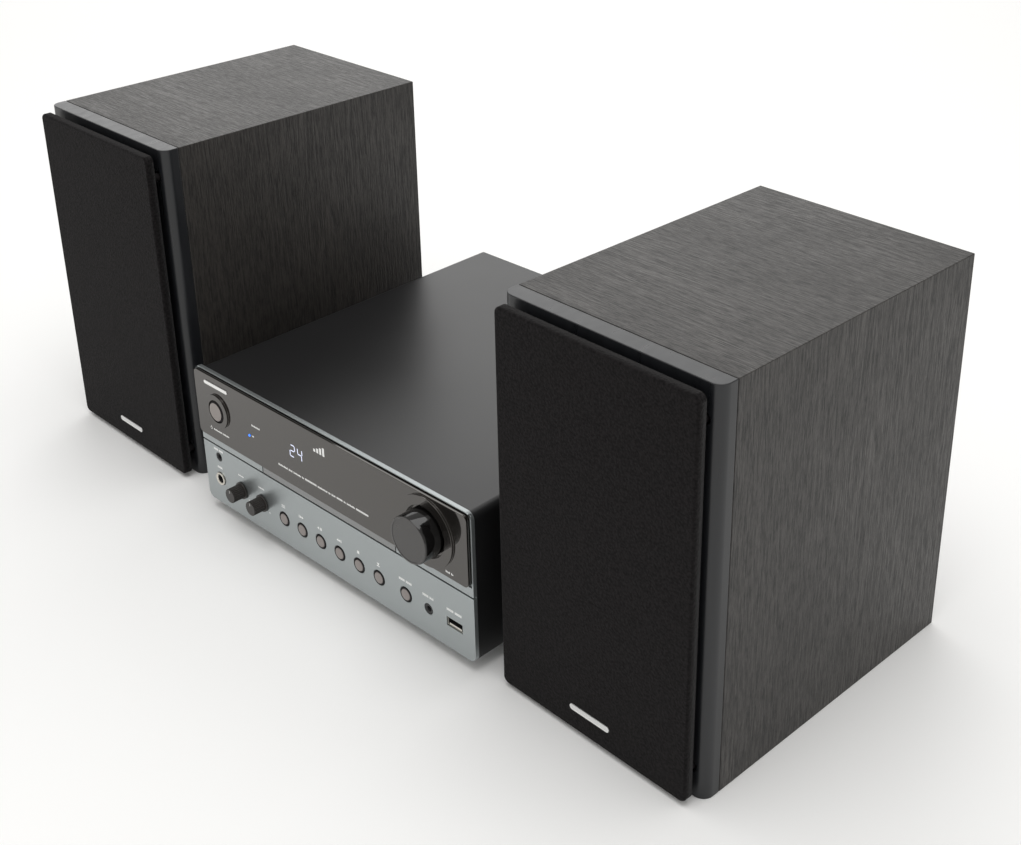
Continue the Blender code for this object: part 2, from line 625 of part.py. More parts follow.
def make_boards(parent, material):
    """The control board and the display module behind the front, and the main board at the back."""
    board_back = BOARD_FRONT + BOARD_THICKNESS
    bm = bmesh.new()
    draw_box(bm, (-0.127, BOARD_FRONT, 0.006), (0.106, board_back, 0.043))
    make_piece("control_board", bm, material, parent)

    bm = bmesh.new()
    draw_box(bm, (-0.122, BOARD_FRONT, 0.0600), (0.080, board_back, 0.0965))
    display = make_piece("display_module", bm, material, parent)
    bm = bmesh.new()
    draw_box(bm, (-0.046, 0.0040, 0.064), (0.046, BOARD_FRONT + 0.0005, 0.094))
    combine(display, bm, "UNION")

    low, high = MAIN_BOARD
    inside = high[2] - 0.0006
    bm = bmesh.new()
    draw_box(bm, low, high)
    board = make_piece("main_board", bm, material, parent)
    bm = bmesh.new()
    for x, y, wide, deep, tall in BOARD_BLOCKS:
        draw_box(bm, (x, y, inside), (x + wide, y + deep, high[2] + tall))
    for x, y in CAPACITORS:
        draw_rod(bm, (x, y, inside), (x, y, CAPACITOR_TOP), CAPACITOR_RADIUS)
    combine(board, bm, "UNION")


def make_power_parts(parent, materials):
    """The mains transformer and the amplifier's finned heat sink."""
    floor = FLOOR_SHEET + GAP
    bm = bmesh.new()
    draw_box(bm, (-0.124, 0.150, floor), (-0.078, 0.196, 0.0445), 0.003, "Z")
    transformer = make_piece("transformer", bm, materials["steel"], parent)
    bm = bmesh.new()
    draw_box(bm, (-0.119, 0.143, 0.008), (-0.083, 0.203, 0.038), 0.004, "Y")
    combine(transformer, bm, "UNION")

    root, spine, tip = 0.090, 0.094, 0.1285
    section = [(root, floor)]
    for fin in range(FIN_COUNT):
        low = floor + fin * FIN_PITCH
        section += [(tip, low), (tip, low + FIN_THICKNESS), (spine, low + FIN_THICKNESS)]
        section += [(spine, low + FIN_PITCH)]
    section[-1] = (root, section[-2][1])
    section.pop(-2)
    bm = bmesh.new()
    draw_prism(bm, [(x, 0.090, z) for x, z in section], (0, 0.090, 0))
    make_piece("heat_sink", bm, materials["aluminium"], parent)


# ---------------------------------------------------------------- speakers

def make_cabinet(side, parent, materials):
    """Box of four walls, the back panel in its rear, and the terminal cup."""
    half, wall, height = SPEAKER_WIDTH / 2, CABINET_WALL, SPEAKER_HEIGHT
    bm = bmesh.new()
    draw_box(bm, (-half, BAFFLE_THICKNESS + GAP, 0), (half, SPEAKER_DEPTH, height))
    cabinet = make_piece(f"{side}_cabinet", bm, materials["wood"], parent)
    bm = bmesh.new()
    draw_box(bm, (wall - half, 0, wall), (half - wall, SPEAKER_DEPTH + THROUGH, height - wall))
    combine(cabinet, bm, "DIFFERENCE")

    inner = half - wall - GAP
    back = SPEAKER_DEPTH - BACK_RECESS
    (left, low), (right, high) = CUP_FLANGE
    border = 0.006
    left, low, right, high = left + border, low + border, right - border, high - border
    bm = bmesh.new()
    draw_box(bm, (-inner, back - BACK_THICKNESS, wall + GAP), (inner, back, height - wall - GAP))
    panel = make_piece(f"{side}_back_panel", bm, materials["wood"], parent)
    bm = bmesh.new()
    draw_box(bm, (left - GAP, back - 0.02, low - GAP), (right + GAP, back + THROUGH, high + GAP))
    combine(panel, bm, "DIFFERENCE")

    bm = bmesh.new()
    draw_box(bm, (left - border, back + GAP, low - border),
             (right + border, back + 0.0025, high + border), 0.003)
    cup = make_piece(f"{side}_terminal_cup", bm, materials["plastic"], parent)
    bm = bmesh.new()
    draw_box(bm, (left, back - CUP_DEPTH, low), (right, back + 0.002, high))
    combine(cup, bm, "UNION")
    bm = bmesh.new()
    draw_box(bm, (left + CUP_WALL, back - CUP_DEPTH + CUP_WALL, low + CUP_WALL),
             (right - CUP_WALL, back + THROUGH, high - CUP_WALL), 0.004)
    combine(cup, bm, "DIFFERENCE")
    bm = bmesh.new()
    for x in POST_PLACES:
        draw_rod(bm, (x, back - 0.019, 0.070), (x, back - 0.004, 0.070), POST_RADIUS)
    combine(cup, bm, "UNION")


def make_baffle(side, parent, material):
    """Front board with rounded vertical edges, driver holes and sockets for the grille's pegs."""
    half, corner, back = SPEAKER_WIDTH / 2, BAFFLE_ROUND, BAFFLE_THICKNESS
    plan = [(half, back), (-half, back)]
    plan += arc((corner - half, corner), corner, 180, 270)
    plan += arc((half - corner, corner), corner, 270, 360)
    bm = bmesh.new()
    draw_prism(bm, [(x, y, 0) for x, y in plan], (0, 0, SPEAKER_HEIGHT))
    baffle = make_piece(f"{side}_baffle", bm, material, parent)
    bm = bmesh.new()
    draw_hole(bm, (0, WOOFER_HEIGHT), WOOFER_HOLE, back=0.03, segments=MEDIUM_ROUND)
    draw_hole(bm, (0, TWEETER_HEIGHT), TWEETER_HOLE, back=0.03, segments=MEDIUM_ROUND)
    for place in PEG_PLACES:
        draw_hole(bm, place, PEG_RADIUS + 0.0004, back=PEG_LENGTH + 0.0015)
    combine(baffle, bm, "DIFFERENCE")


def make_grille(side, parent, material):
    """Grille board, open behind, with the cloth as a thin skin over its front and four pegs."""
    half = GRILLE_WIDTH / 2
    low = (SPEAKER_HEIGHT - GRILLE_HEIGHT) / 2
    high = low + GRILLE_HEIGHT
    back = -GRILLE_STANDOFF
    front = back - GRILLE_THICKNESS
    bm = bmesh.new()
    draw_box(bm, (-half, front, low), (half, back, high), GRILLE_CORNER)
    grille = make_piece(f"{side}_grille", bm, material, parent)
    bm = bmesh.new()
    draw_box(bm, (GRILLE_BORDER - half, front + CLOTH, low + GRILLE_BORDER),
             (half - GRILLE_BORDER, THROUGH, high - GRILLE_BORDER), 0.004)
    combine(grille, bm, "DIFFERENCE")
    bm = bmesh.new()
    for x, z in PEG_PLACES:
        draw_rod(bm, (x, back - 0.001, z), (x, PEG_LENGTH, z), PEG_RADIUS)
    combine(grille, bm, "UNION")


def make_drivers(side, parent, materials):
    """Woofer frame with its magnet, cone, rubber surround, and the tweeter."""
    frame = [(0, 0.030), (0.012, 0.030), (0.012, 0.044), (0.0155, 0.044), (0.0155, 0.032)]
    frame += [(0.030, 0.032), (0.0459, 0.004), (0.0459, -0.0028), (0.059, -0.0028), (0.059, -GAP)]
    frame += [(0.0485, -GAP), (0.0485, 0.006), (0.033, 0.036), (0.036, 0.036), (0.036, 0.060), (0, 0.060)]
    bm = bmesh.new()
    draw_turned(bm, frame)
    make_piece(f"{side}_woofer_frame", bm, materials["steel"], parent, (0, 0, WOOFER_HEIGHT))

    cone = [(0, 0.0112), (0.006, 0.0120), (0.011, 0.0140), (0.015, 0.0175), (0.0376, -0.0012)]
    cone += [(0.0376, 0), (0.014, 0.020), (0.014, 0.034), (0.013, 0.034), (0.013, 0.0182)]
    cone += [(0.010, 0.0152), (0.0056, 0.0132), (0, 0.0124)]
    bm = bmesh.new()
    draw_turned(bm, cone)
    make_piece(f"{side}_woofer_cone", bm, materials["cone"], parent, (0, 0, WOOFER_HEIGHT))

    centre, radius, wall = (0.0418, -0.0008), 0.0037, 0.0008
    roll = arc(centre, radius, 180, 360) + arc(centre, radius - wall, 360, 180)
    bm = bmesh.new()
    draw_turned(bm, roll, closed=True)
    make_piece(f"{side}_woofer_surround", bm, materials["rubber"], parent, (0, 0, WOOFER_HEIGHT))

    tweeter = [(0, -0.0036), (0.006, -0.0030), (0.011, -0.0012), (0.0125, 0.0008), (0.0145, 0.0008)]
    tweeter += [(0.024, -0.0023), (0.031, -0.0023), (0.031, -GAP), (0.0205, -GAP), (0.0205, 0.025)]
    tweeter += [(0, 0.025)]
    bm = bmesh.new()
    draw_turned(bm, tweeter)
    make_piece(f"{side}_tweeter", bm, materials["plastic"], parent, (0, 0, TWEETER_HEIGHT))


# ---------------------------------------------------------------- the whole system

def make_main_unit(parent, materials):
    """Every piece of the main unit."""
    make_front_bezel(parent, materials["metal"])
    make_display_fascia(parent, materials["gloss"])
    make_top_cover(parent, materials["sheet"])
    make_chassis_tray(parent, materials["steel"])
    make_rear_panel(parent, materials["sheet"])
    make_feet(parent, materials["rubber"])
    make_buttons(parent, materials["cap"])
    make_controls(parent, materials)
    make_front_sockets(parent, materials)
    make_rear_connectors(parent, materials)
    make_drive_frame(parent, materials["plastic"])
    make_disc_tray(parent, materials["plastic"], materials["metal"])
    make_deck(parent, materials)
    make_boards(parent, materials["board"])
    make_power_parts(parent, materials)


def make_speaker(side, parent, materials):
    """Every piece of one speaker."""
    make_cabinet(side, parent, materials)
    make_baffle(side, parent, materials["wood"])
    make_grille(side, parent, materials["cloth"])
    make_drivers(side, parent, materials)


def centre_on_footprint(system):
    """Move the system so that the origin is on the floor under the middle of its outer box."""
    bpy.context.view_layer.update()
    depsgraph = bpy.context.evaluated_depsgraph_get()
    points = []
    for piece in bpy.context.scene.objects:
        if piece.type == "MESH" and not piece.hide_render:
            mesh = piece.evaluated_get(depsgraph).data
            points += [piece.matrix_world @ vert.co for vert in mesh.vertices]
    for axis in (0, 1):
        values = [point[axis] for point in points]
        system.location[axis] = -(min(values) + max(values)) / 2
    bpy.context.view_layer.update()


def main():
    for old in list(bpy.data.objects):
        bpy.data.objects.remove(old, do_unlink=True)
    materials = {
        "metal": make_material("satin_metallic", (0.28, 0.31, 0.32), 0.38, 0.7),
        "gloss": make_material("gloss_fascia", (0.035, 0.032, 0.030), 0.18),
        "sheet": make_material("black_painted_steel", (0.012, 0.012, 0.013), 0.5, 0.2),
        "steel": make_material("plated_steel", (0.45, 0.45, 0.44), 0.4, 1.0),
        "rubber": make_material("rubber", (0.02, 0.02, 0.02), 0.8),
        "knob": make_material("black_knob", (0.03, 0.028, 0.027), 0.3),
        "cap": make_material("grey_button", (0.16, 0.145, 0.14), 0.45, 0.3),
        "part": make_material("black_moulded", (0.02, 0.02, 0.02), 0.5),
        "plated": make_material("nickel_plate", (0.75, 0.73, 0.68), 0.25, 1.0),
        "plastic": make_material("matt_moulded", (0.04, 0.04, 0.04), 0.6),
        "board": make_material("circuit_board", (0.02, 0.12, 0.05), 0.5),
        "aluminium": make_material("aluminium", (0.6, 0.6, 0.6), 0.4, 1.0),
        "wood": make_material("black_ash_wrap", (0.09, 0.088, 0.085), 0.5),
        "cloth": make_material("grille_cloth", (0.02, 0.019, 0.018), 0.95),
        "cone": make_material("paper_cone", (0.03, 0.03, 0.03), 0.85),
    }
    system = make_empty("hifi_system")
    make_main_unit(make_empty("main_unit", system, (0, 0, FOOT_HEIGHT)), materials)
    for side, (x, y, yaw) in SPEAKER_PLACES.items():
        make_speaker(side, make_empty(f"{side}_speaker", system, (x, y, 0), yaw), materials)
    centre_on_footprint(system)


main()
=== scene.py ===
import json
import math

import bmesh
import bpy
from mathutils import Matrix, Vector


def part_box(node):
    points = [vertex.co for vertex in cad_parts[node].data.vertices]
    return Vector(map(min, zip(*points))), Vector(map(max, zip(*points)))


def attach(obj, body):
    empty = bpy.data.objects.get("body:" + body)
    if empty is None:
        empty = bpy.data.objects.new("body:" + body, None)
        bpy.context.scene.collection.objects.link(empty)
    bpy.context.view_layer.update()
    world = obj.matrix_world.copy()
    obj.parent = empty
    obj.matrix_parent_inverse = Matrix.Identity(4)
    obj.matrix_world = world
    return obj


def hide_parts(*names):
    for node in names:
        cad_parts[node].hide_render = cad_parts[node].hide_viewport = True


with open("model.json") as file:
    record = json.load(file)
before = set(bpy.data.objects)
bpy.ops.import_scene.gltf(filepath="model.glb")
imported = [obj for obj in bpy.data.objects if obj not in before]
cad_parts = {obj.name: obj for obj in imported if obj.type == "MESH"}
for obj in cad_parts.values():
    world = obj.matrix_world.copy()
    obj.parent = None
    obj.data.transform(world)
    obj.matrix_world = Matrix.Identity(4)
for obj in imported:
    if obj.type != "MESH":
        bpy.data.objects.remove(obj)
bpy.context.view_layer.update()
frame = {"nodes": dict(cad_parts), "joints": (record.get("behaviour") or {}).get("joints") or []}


# ---------------------------------------------------------------- studio
# A pale floor in a white tent, with broad soft boxes over and behind the set: the satin tops and the gloss
# front have something bright to mirror. The camera looks down on the set from the right.

studio = bpy.context.scene
studio.view_settings.view_transform = "Standard"

tent = bpy.data.worlds.new("tent")
tent.use_nodes = True
tent.node_tree.nodes["Background"].inputs["Color"].default_value = (1.0, 0.99, 0.97, 1.0)
tent.node_tree.nodes["Background"].inputs["Strength"].default_value = 0.66
studio.world = tent


def add_soft_box(name, place, target, size, brightness):
    """A rectangular lamp at a place, aimed at a target. Brightness is that of its own surface."""
    aim = (Vector(target) - Vector(place)).to_track_quat("-Z", "Y").to_euler()
    bpy.ops.object.light_add(type="AREA", location=place, rotation=aim)
    lamp = bpy.context.object
    lamp.name = name
    lamp.data.shape = "RECTANGLE"
    lamp.data.size, lamp.data.size_y = size
    lamp.data.energy = brightness * math.pi * size[0] * size[1]


add_soft_box("overhead_box", (0.2, -0.2, 2.2), (0, 0, 0), (1.8, 1.8), 2.2)
add_soft_box("back_box", (-1.8, 1.8, 1.5), (0, 0, 0.1), (2.6, 1.8), 1.18)

bpy.ops.mesh.primitive_plane_add(size=12, location=(0, 0, 0))
floor = bpy.context.object
floor.name = "studio_floor"
floor_paint = bpy.data.materials.new("floor_paint")
floor_paint.use_nodes = True
floor_paint.node_tree.nodes["Principled BSDF"].inputs["Base Color"].default_value = (0.96, 0.96, 0.955, 1.0)
floor_paint.node_tree.nodes["Principled BSDF"].inputs["Roughness"].default_value = 0.9
floor.data.materials.append(floor_paint)

camera_turn = [math.radians(angle) for angle in (65.608, 0.529, 43.597)]
bpy.ops.object.camera_add(location=(0.6682, -0.6072, 0.5817), rotation=camera_turn)
studio.camera = bpy.context.object
studio.camera.data.lens = 52.77
studio.camera.data.shift_x = -0.0385
studio.camera.data.shift_y = -0.1436


# ---------------------------------------------------------------- front bezel
# One moulding in a satin blue-grey metallic paint: the lower panel, the strip over it and the thin trim
# round the fascia. Its skirt slides into the steel cover, and it is pierced for every control.

bezel_low, bezel_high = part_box("front_bezel")
unit_middle = (bezel_low.x + bezel_high.x) / 2


def on_front(x, y, z):
    """A point measured from the middle of the unit, its front panel and its underside."""
    return Vector((unit_middle + x, bezel_low.y + y, bezel_low.z + z))


def middle_of(node):
    """The (x, z) middle of a piece, measured as on_front does."""
    low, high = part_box(node)
    return (low.x + high.x) / 2 - unit_middle, (low.z + high.z) / 2 - bezel_low.z


class Value:
    """A node's output that takes part in Python arithmetic: each operator adds its Math node."""

    def __init__(self, finish, socket):
        self.finish, self.socket = finish, socket

    def math(self, operation, *values):
        return self.finish.node("Math", {"operation": operation}, dict(enumerate(values)))

    def __add__(self, other):
        return self.math("ADD", self, other)

    def __sub__(self, other):
        return self.math("SUBTRACT", self, other)

    def __rsub__(self, other):
        return self.math("SUBTRACT", other, self)

    def __mul__(self, other):
        return self.math("MULTIPLY", self, other)

    __radd__ = __add__
    __rmul__ = __mul__


class Finish:
    """A procedural material. Constants go on the shader's own sockets, and patterns are built as Values."""

    def __init__(self, name, **constants):
        self.material = bpy.data.materials.new(name)
        self.material.use_nodes = True
        self.nodes = self.material.node_tree.nodes
        self.shader = self.nodes["Principled BSDF"]
        for word, value in constants.items():
            self.shader.inputs[word.replace("_", " ").title().replace("Ior", "IOR")].default_value = value

    def node(self, kind, settings=(), values=(), output=0):
        """Add a node: its settings first, then the values or links of its sockets."""
        made = self.nodes.new(f"ShaderNode{kind}")
        for key, setting in dict(settings).items():
            setattr(made, key, setting)
        for key, value in dict(values).items():
            self.feed(made.inputs[key], value)
        return Value(self, made.outputs[output])

    def feed(self, socket, value):
        """Link a Value to a socket, or set a plain number, vector or colour on it."""
        if isinstance(value, Value):
            self.material.node_tree.links.new(value.socket, socket)
        elif socket.type == "RGBA":
            socket.default_value = (*value, 1.0)
        else:
            socket.default_value = value

    def place(self, centre=(0, 0, 0), turn=0.0, stretch=(1, 1, 1)):
        """Object coordinates from a centre, turned about Z, with patterns drawn out along each axis."""
        spot = self.node("TexCoord", output="Object")
        facts = {"Vector": spot, "Location": centre, "Rotation": (0, 0, turn), "Scale": stretch}
        return self.node("Mapping", {"vector_type": "TEXTURE"}, facts)

    def noise(self, per_metre, detail=2.0, **placing):
        """Noise from 0 to 1 with that many lumps to the metre."""
        facts = {"Vector": self.place(**placing), "Scale": per_metre, "Detail": detail}
        return self.node("TexNoise", {}, facts)

    def between(self, value, low, high):
        """0 where the value is at or under low, 1 at or over high."""
        return self.node("MapRange", {}, {"Value": value, "From Min": low, "From Max": high})

    def mix(self, mask, low, high):
        """One colour where the mask is 0, the other where it is 1."""
        return self.node("Mix", {"data_type": "RGBA"}, {0: mask, 6: low, 7: high}, output=2)

    def bump(self, height, depth):
        """The normal of a surface that rises by depth, in metres, where height is 1."""
        return self.node("Bump", {}, {"Height": height, "Distance": depth})

    def surface(self, **values):
        """Link patterns to the shader's sockets, and return the finish."""
        for word, value in values.items():
            self.feed(self.shader.inputs[word.replace("_", " ").title()], value)
        return self


def take_in_hand(piece):
    """Select one object alone, and make it the active one."""
    bpy.ops.object.select_all(action="DESELECT")
    piece.select_set(True)
    bpy.context.view_layer.objects.active = piece


def settle(name):
    """Name the object in hand, and put its place, turn and size into its mesh."""
    piece = bpy.context.object
    piece.name = piece.data.name = name
    bpy.ops.object.transform_apply(location=True, rotation=True, scale=True)
    return piece


def add_block(name, low, high):
    """A block between two corners."""
    low, high = Vector(low), Vector(high)
    bpy.ops.object.select_all(action="DESELECT")
    bpy.ops.mesh.primitive_cube_add(size=1, location=(low + high) / 2, scale=high - low)
    return settle(name)


def add_rod(name, start, end, radius, sides=64):
    """A round bar between two points."""
    start, end = Vector(start), Vector(end)
    aim = (end - start).to_track_quat("Z", "Y").to_euler()
    bpy.ops.object.select_all(action="DESELECT")
    bpy.ops.mesh.primitive_cylinder_add(
        vertices=sides, radius=radius, depth=(end - start).length, location=(start + end) / 2, rotation=aim
    )
    return settle(name)


def work(piece, kind, wanted, operator, **settings):
    """In edit mode, select the verts, edges or faces that are wanted, and use one operator on them."""
    take_in_hand(piece)
    bpy.ops.object.mode_set(mode="EDIT")
    bpy.ops.mesh.select_mode(type={"verts": "VERT", "edges": "EDGE", "faces": "FACE"}[kind])
    bpy.ops.mesh.select_all(action="DESELECT")
    drawing = bmesh.from_edit_mesh(piece.data)
    for element in getattr(drawing, kind):
        if wanted(element):
            element.select_set(True)
    drawing.select_flush_mode()
    bmesh.update_edit_mesh(piece.data)
    operator(**settings)
    bpy.ops.object.mode_set(mode="OBJECT")
    return piece


def runs_along(axis):
    """A test for edges that run along one axis."""
    index = "XYZ".index(axis)

    def test(edge):
        run = edge.verts[1].co - edge.verts[0].co
        return abs(run[index]) > 0.99 * run.length

    return test


def bevel(piece, wanted, width, segments):
    """Round the edges that are wanted."""
    return work(piece, "edges", wanted, bpy.ops.mesh.bevel, offset=width, segments=segments, affect="EDGES")


def round_corners(piece, axis, radius, segments=8):
    """Round the edges of a block that run along one axis."""
    return bevel(piece, runs_along(axis), radius, segments)


def use_modifier(piece, kind, **settings):
    """Add a modifier to a piece, set it up and apply it."""
    modifier = piece.modifiers.new(kind, kind)
    for word, value in settings.items():
        setattr(modifier, word, value)
    take_in_hand(piece)
    bpy.ops.object.modifier_apply(modifier=modifier.name)


def combine(piece, tools, operation="DIFFERENCE"):
    """Cut the tools from a piece (DIFFERENCE) or join them on (UNION), one after another."""
    for tool in tools:
        use_modifier(piece, "BOOLEAN", operation=operation, object=tool)
        bpy.data.objects.remove(tool)
    return piece


def join(name, pieces):
    """Join several pieces into one."""
    take_in_hand(pieces[0])
    for piece in pieces[1:]:
        piece.select_set(True)
    bpy.ops.object.join()
    return settle(name)


def soften(piece, width, segments=2, angle=30):
    """Take the sharpness off every edge, then shade the piece smooth with its flats kept flat."""
    take_in_hand(piece)
    bpy.ops.object.shade_smooth()
    limit = math.radians(angle)
    use_modifier(piece, "BEVEL", width=width, segments=segments, angle_limit=limit, use_clamp_overlap=False)
    use_modifier(piece, "WEIGHTED_NORMAL", keep_sharp=True)
    return piece


def fit(piece, finish, body, slot, *stands_for):
    """Give a piece its finish and its body, and hide the plain nodes that it stands for. The slot is not
    used.
    """
    piece.data.materials.clear()
    piece.data.materials.append(finish.material)
    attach(piece, body)
    if stands_for:
        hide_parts(*stands_for)
    return piece


def metallic_paint(name, colour, roughness):
    """Satin metallic paint: fine flakes that glint, over a very slightly uneven coat."""
    paint = Finish(name, metallic=0.82, coat_weight=0.12, coat_roughness=0.25)
    flakes = paint.noise(5200, detail=1.0)
    cloud = paint.noise(26, detail=3.0)
    dark, light = [tone * 0.90 for tone in colour], [tone * 1.09 for tone in colour]
    return paint.surface(
        base_color=paint.mix(flakes * 0.75 + cloud * 0.25, dark, light),
        roughness=flakes * 0.12 + (roughness - 0.06),
        normal=paint.bump(flakes, 0.000012),
    )


bezel_half, bezel_top = (bezel_high.x - bezel_low.x) / 2, bezel_high.z - bezel_low.z
bezel_thickness = 0.003
strip_bottom, groove_height, groove_depth, seat_depth = 0.0472, 0.0011, 0.0022, 0.0010
fascia_low, fascia_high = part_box("display_fascia")
lip_low, lip_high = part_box("tray_front")
panel_gap = 0.0004
small_buttons = ("menu", "previous", "play", "next", "stop", "eject", "source")
button_bore, ring_radius, ring_depth = 0.0043, 0.0054, 0.0008
clear = 0.01  # how far a cutter reaches past what it cuts

bezel = add_block("bezel_front", bezel_low, on_front(bezel_half, bezel_thickness, bezel_top))
round_corners(bezel, "Y", 0.005)
skirt_half, skirt_bottom, skirt_top = bezel_half - 0.0026, 0.0026, bezel_top - 0.0032
skirt = add_block(
    "skirt", on_front(-skirt_half, 0.002, skirt_bottom), on_front(skirt_half, 0.009, skirt_top)
)
round_corners(skirt, "Y", 0.005)
combine(bezel, [skirt], "UNION")

skirt_wall = 0.0024
hollow = add_block(
    "hollow",
    on_front(skirt_wall - skirt_half, bezel_thickness, skirt_bottom + skirt_wall),
    on_front(skirt_half - skirt_wall, clear, skirt_top - skirt_wall),
)
round_corners(hollow, "Y", 0.003, 4)
fascia_half = (fascia_high.x - fascia_low.x) / 2 + panel_gap
strip_top = fascia_low.z - bezel_low.z
seat = add_block(
    "seat",
    on_front(-fascia_half, -clear, strip_top - panel_gap),
    on_front(fascia_half, seat_depth, fascia_high.z - bezel_low.z + panel_gap),
)
groove = add_block(
    "groove",
    on_front(-bezel_half - clear, -clear, strip_bottom - groove_height),
    on_front(bezel_half + clear, groove_depth, strip_bottom),
)
slot_half = (lip_high.x - lip_low.x) / 2 + panel_gap
slot = add_block(
    "slot",
    on_front(-slot_half, -clear, strip_bottom - groove_height / 2),
    on_front(slot_half, clear, strip_top + panel_gap),
)


def front_block(name, x, z, half_width, half_height, front, back):
    """A block centred at (x, z) on the front, between two depths."""
    return add_block(
        name,
        on_front(x - half_width, front, z - half_height),
        on_front(x + half_width, back, z + half_height),
    )


def hole(x, z, radius, depth=clear, sides=64):
    """A round cutter at (x, z), from ahead of the front to a depth behind it."""
    return add_rod("hole", on_front(x, -clear, z), on_front(x, depth, z), radius, sides)


display_window = front_block("window", 0, 0.078, 0.050, 0.018, -clear, clear)
combine(bezel, [hollow, seat, groove, slot, display_window])

holes = [
    hole(*middle_of(node), radius)
    for node, radius in (
        ("power_button", 0.0100), ("volume_knob", 0.0045), ("bass_knob", 0.0033), ("treble_knob", 0.0033),
        ("headphone_socket", 0.0033), ("line_in_socket", 0.0038), ("microphone_socket", 0.0050),
    )
]
for name in small_buttons:
    x, z = middle_of(f"{name}_button")
    holes += [hole(x, z, button_bore), hole(x, z, ring_radius, ring_depth)]
usb_x, usb_z = middle_of("usb_socket")
holes.append(front_block("hole", usb_x, usb_z, 0.00685, 0.0032, -clear, clear))
combine(bezel, holes)
soften(bezel, 0.00022)
bezel_paint = metallic_paint("satin_blue_grey", (0.385, 0.415, 0.42), 0.33)
fit(bezel, bezel_paint, "main_unit", "satin_metallic", "front_bezel")
# Painted shadow: a thin black sheet fills the groove under the strip, so that the gap reads dark.
shadow_sheet_front, shadow_sheet_gap = 0.0008, 0.0002
shadow_sheet = add_block(
    "groove_liner",
    on_front(0.002 - bezel_half, shadow_sheet_front, strip_bottom - groove_height),
    on_front(bezel_half - 0.002, groove_depth, strip_bottom - shadow_sheet_gap),
)


# ---------------------------------------------------------------- gloss fascia
# A piano-gloss plate that stands proud of the bezel. A raised ring is moulded round the power button, and
# another round the well that the volume knob turns in.

plate_front, ring_proud, well_floor = 0.0023, 0.0015, 0.0013
power_x, power_z = middle_of("power_button")
volume_x, volume_z = middle_of("volume_knob")

fascia = add_block(
    "fascia_plate",
    on_front(fascia_low.x - unit_middle, -plate_front, strip_top),
    fascia_high,
)
round_corners(fascia, "Y", 0.0035)
rings = [
    add_rod("ring", on_front(x, -plate_front - ring_proud, z), on_front(x, 0, z), radius, 128)
    for x, z, radius in ((power_x, power_z, 0.0123), (volume_x, volume_z, 0.0235))
]
combine(fascia, rings, "UNION")
combine(fascia, [
    hole(power_x, power_z, 0.0083, sides=96),
    hole(volume_x, volume_z, 0.0170, -well_floor, 128),
    hole(volume_x, volume_z, 0.0040),
])
soften(fascia, 0.00022, 3)

gloss = Finish("piano_gloss", ior=1.85, specular_tint=(1.0, 0.95, 0.90, 1.0))
haze = gloss.noise(38, detail=4.0)
gloss.surface(
    base_color=gloss.mix(haze, (0.0060, 0.0052, 0.0046), (0.0085, 0.0074, 0.0065)),
    roughness=haze * 0.03 + 0.04,
    normal=gloss.bump(gloss.noise(160, detail=1.0), 0.000004),
)
fit(fascia, gloss, "main_unit", "gloss_fascia", "display_fascia")


# ---------------------------------------------------------------- drawer of the disc drive
# The drawer slides out on the drive's rails: a matt black moulding with a shallow recess for the disc and
# a slot for the laser. Its lip is painted like the strip that it closes.

lip_gap = Vector((0.0005, 0, 0))
lip = add_block("drawer_lip", lip_low + lip_gap, lip_high - lip_gap)
soften(lip, 0.0003, 3)
fit(lip, metallic_paint("satin_strip", (0.275, 0.280, 0.280), 0.30), "tray", "satin_metallic", "tray_front")

drawer_low, drawer_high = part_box("disc_tray")
drawer_top = drawer_high.z
disc_x, disc_y = unit_middle, drawer_low.y + 0.0697
laser_half, laser_reach, notch_reach = 0.018, 0.078, 0.060
drawer = round_corners(add_block("disc_drawer", drawer_low, drawer_high), "Z", 0.004, 6)


def pocket(x, radius, depth, sides):
    """A round cutter let into the drawer from above."""
    return add_rod("pocket", (x, disc_y, drawer_top - depth), (x, disc_y, drawer_top + clear), radius, sides)


laser_slot = add_block(
    "laser_slot",
    (disc_x - laser_half, disc_y - laser_half, drawer_low.z - clear),
    (disc_x + laser_half, disc_y + laser_reach, drawer_top + clear),
)
round_corners(laser_slot, "Z", 0.004, 6)
combine(drawer, [
    pocket(disc_x, 0.061, 0.0020, 128),
    pocket(disc_x, 0.0405, 0.0030, 128),
    laser_slot,
    pocket(disc_x - notch_reach, 0.010, 0.0032, 64),
    pocket(disc_x + notch_reach, 0.010, 0.0032, 64),
])
soften(drawer, 0.0003)


def moulded(name, colour, roughness=0.5, grain=2600, depth=0.00002):
    """Moulded plastic with a fine spark-eroded grain."""
    plastic = Finish(name)
    grit = plastic.noise(grain, detail=3.0)
    cloud = plastic.noise(30, detail=2.0)
    dark, light = [tone * 0.82 for tone in colour], [tone * 1.15 for tone in colour]
    return plastic.surface(
        base_color=plastic.mix(grit * 0.6 + cloud * 0.4, dark, light),
        roughness=grit * 0.16 + (roughness - 0.08),
        normal=plastic.bump(grit, depth),
    )


black_plastic = moulded("black_moulding", (0.018, 0.018, 0.019))
# Painted shadow: two more black sheets stand behind the gaps at the ends of the lip, joined to the groove's
# sheet.
slot_end_half = 0.0003
slot_end_shadows = [
    add_block(
        "slot_end",
        on_front(x - slot_end_half, shadow_sheet_front, strip_bottom - 2 * shadow_sheet_gap),
        on_front(x + slot_end_half, 0.0028, strip_top),
    )
    for x in (slot_end_half - slot_half, slot_half - slot_end_half)
]
shadow_sheet = join("groove_liner", [shadow_sheet, *slot_end_shadows])
fit(shadow_sheet, black_plastic, "main_unit", "moulding")
fit(drawer, black_plastic, "tray", "moulding", "disc_tray")


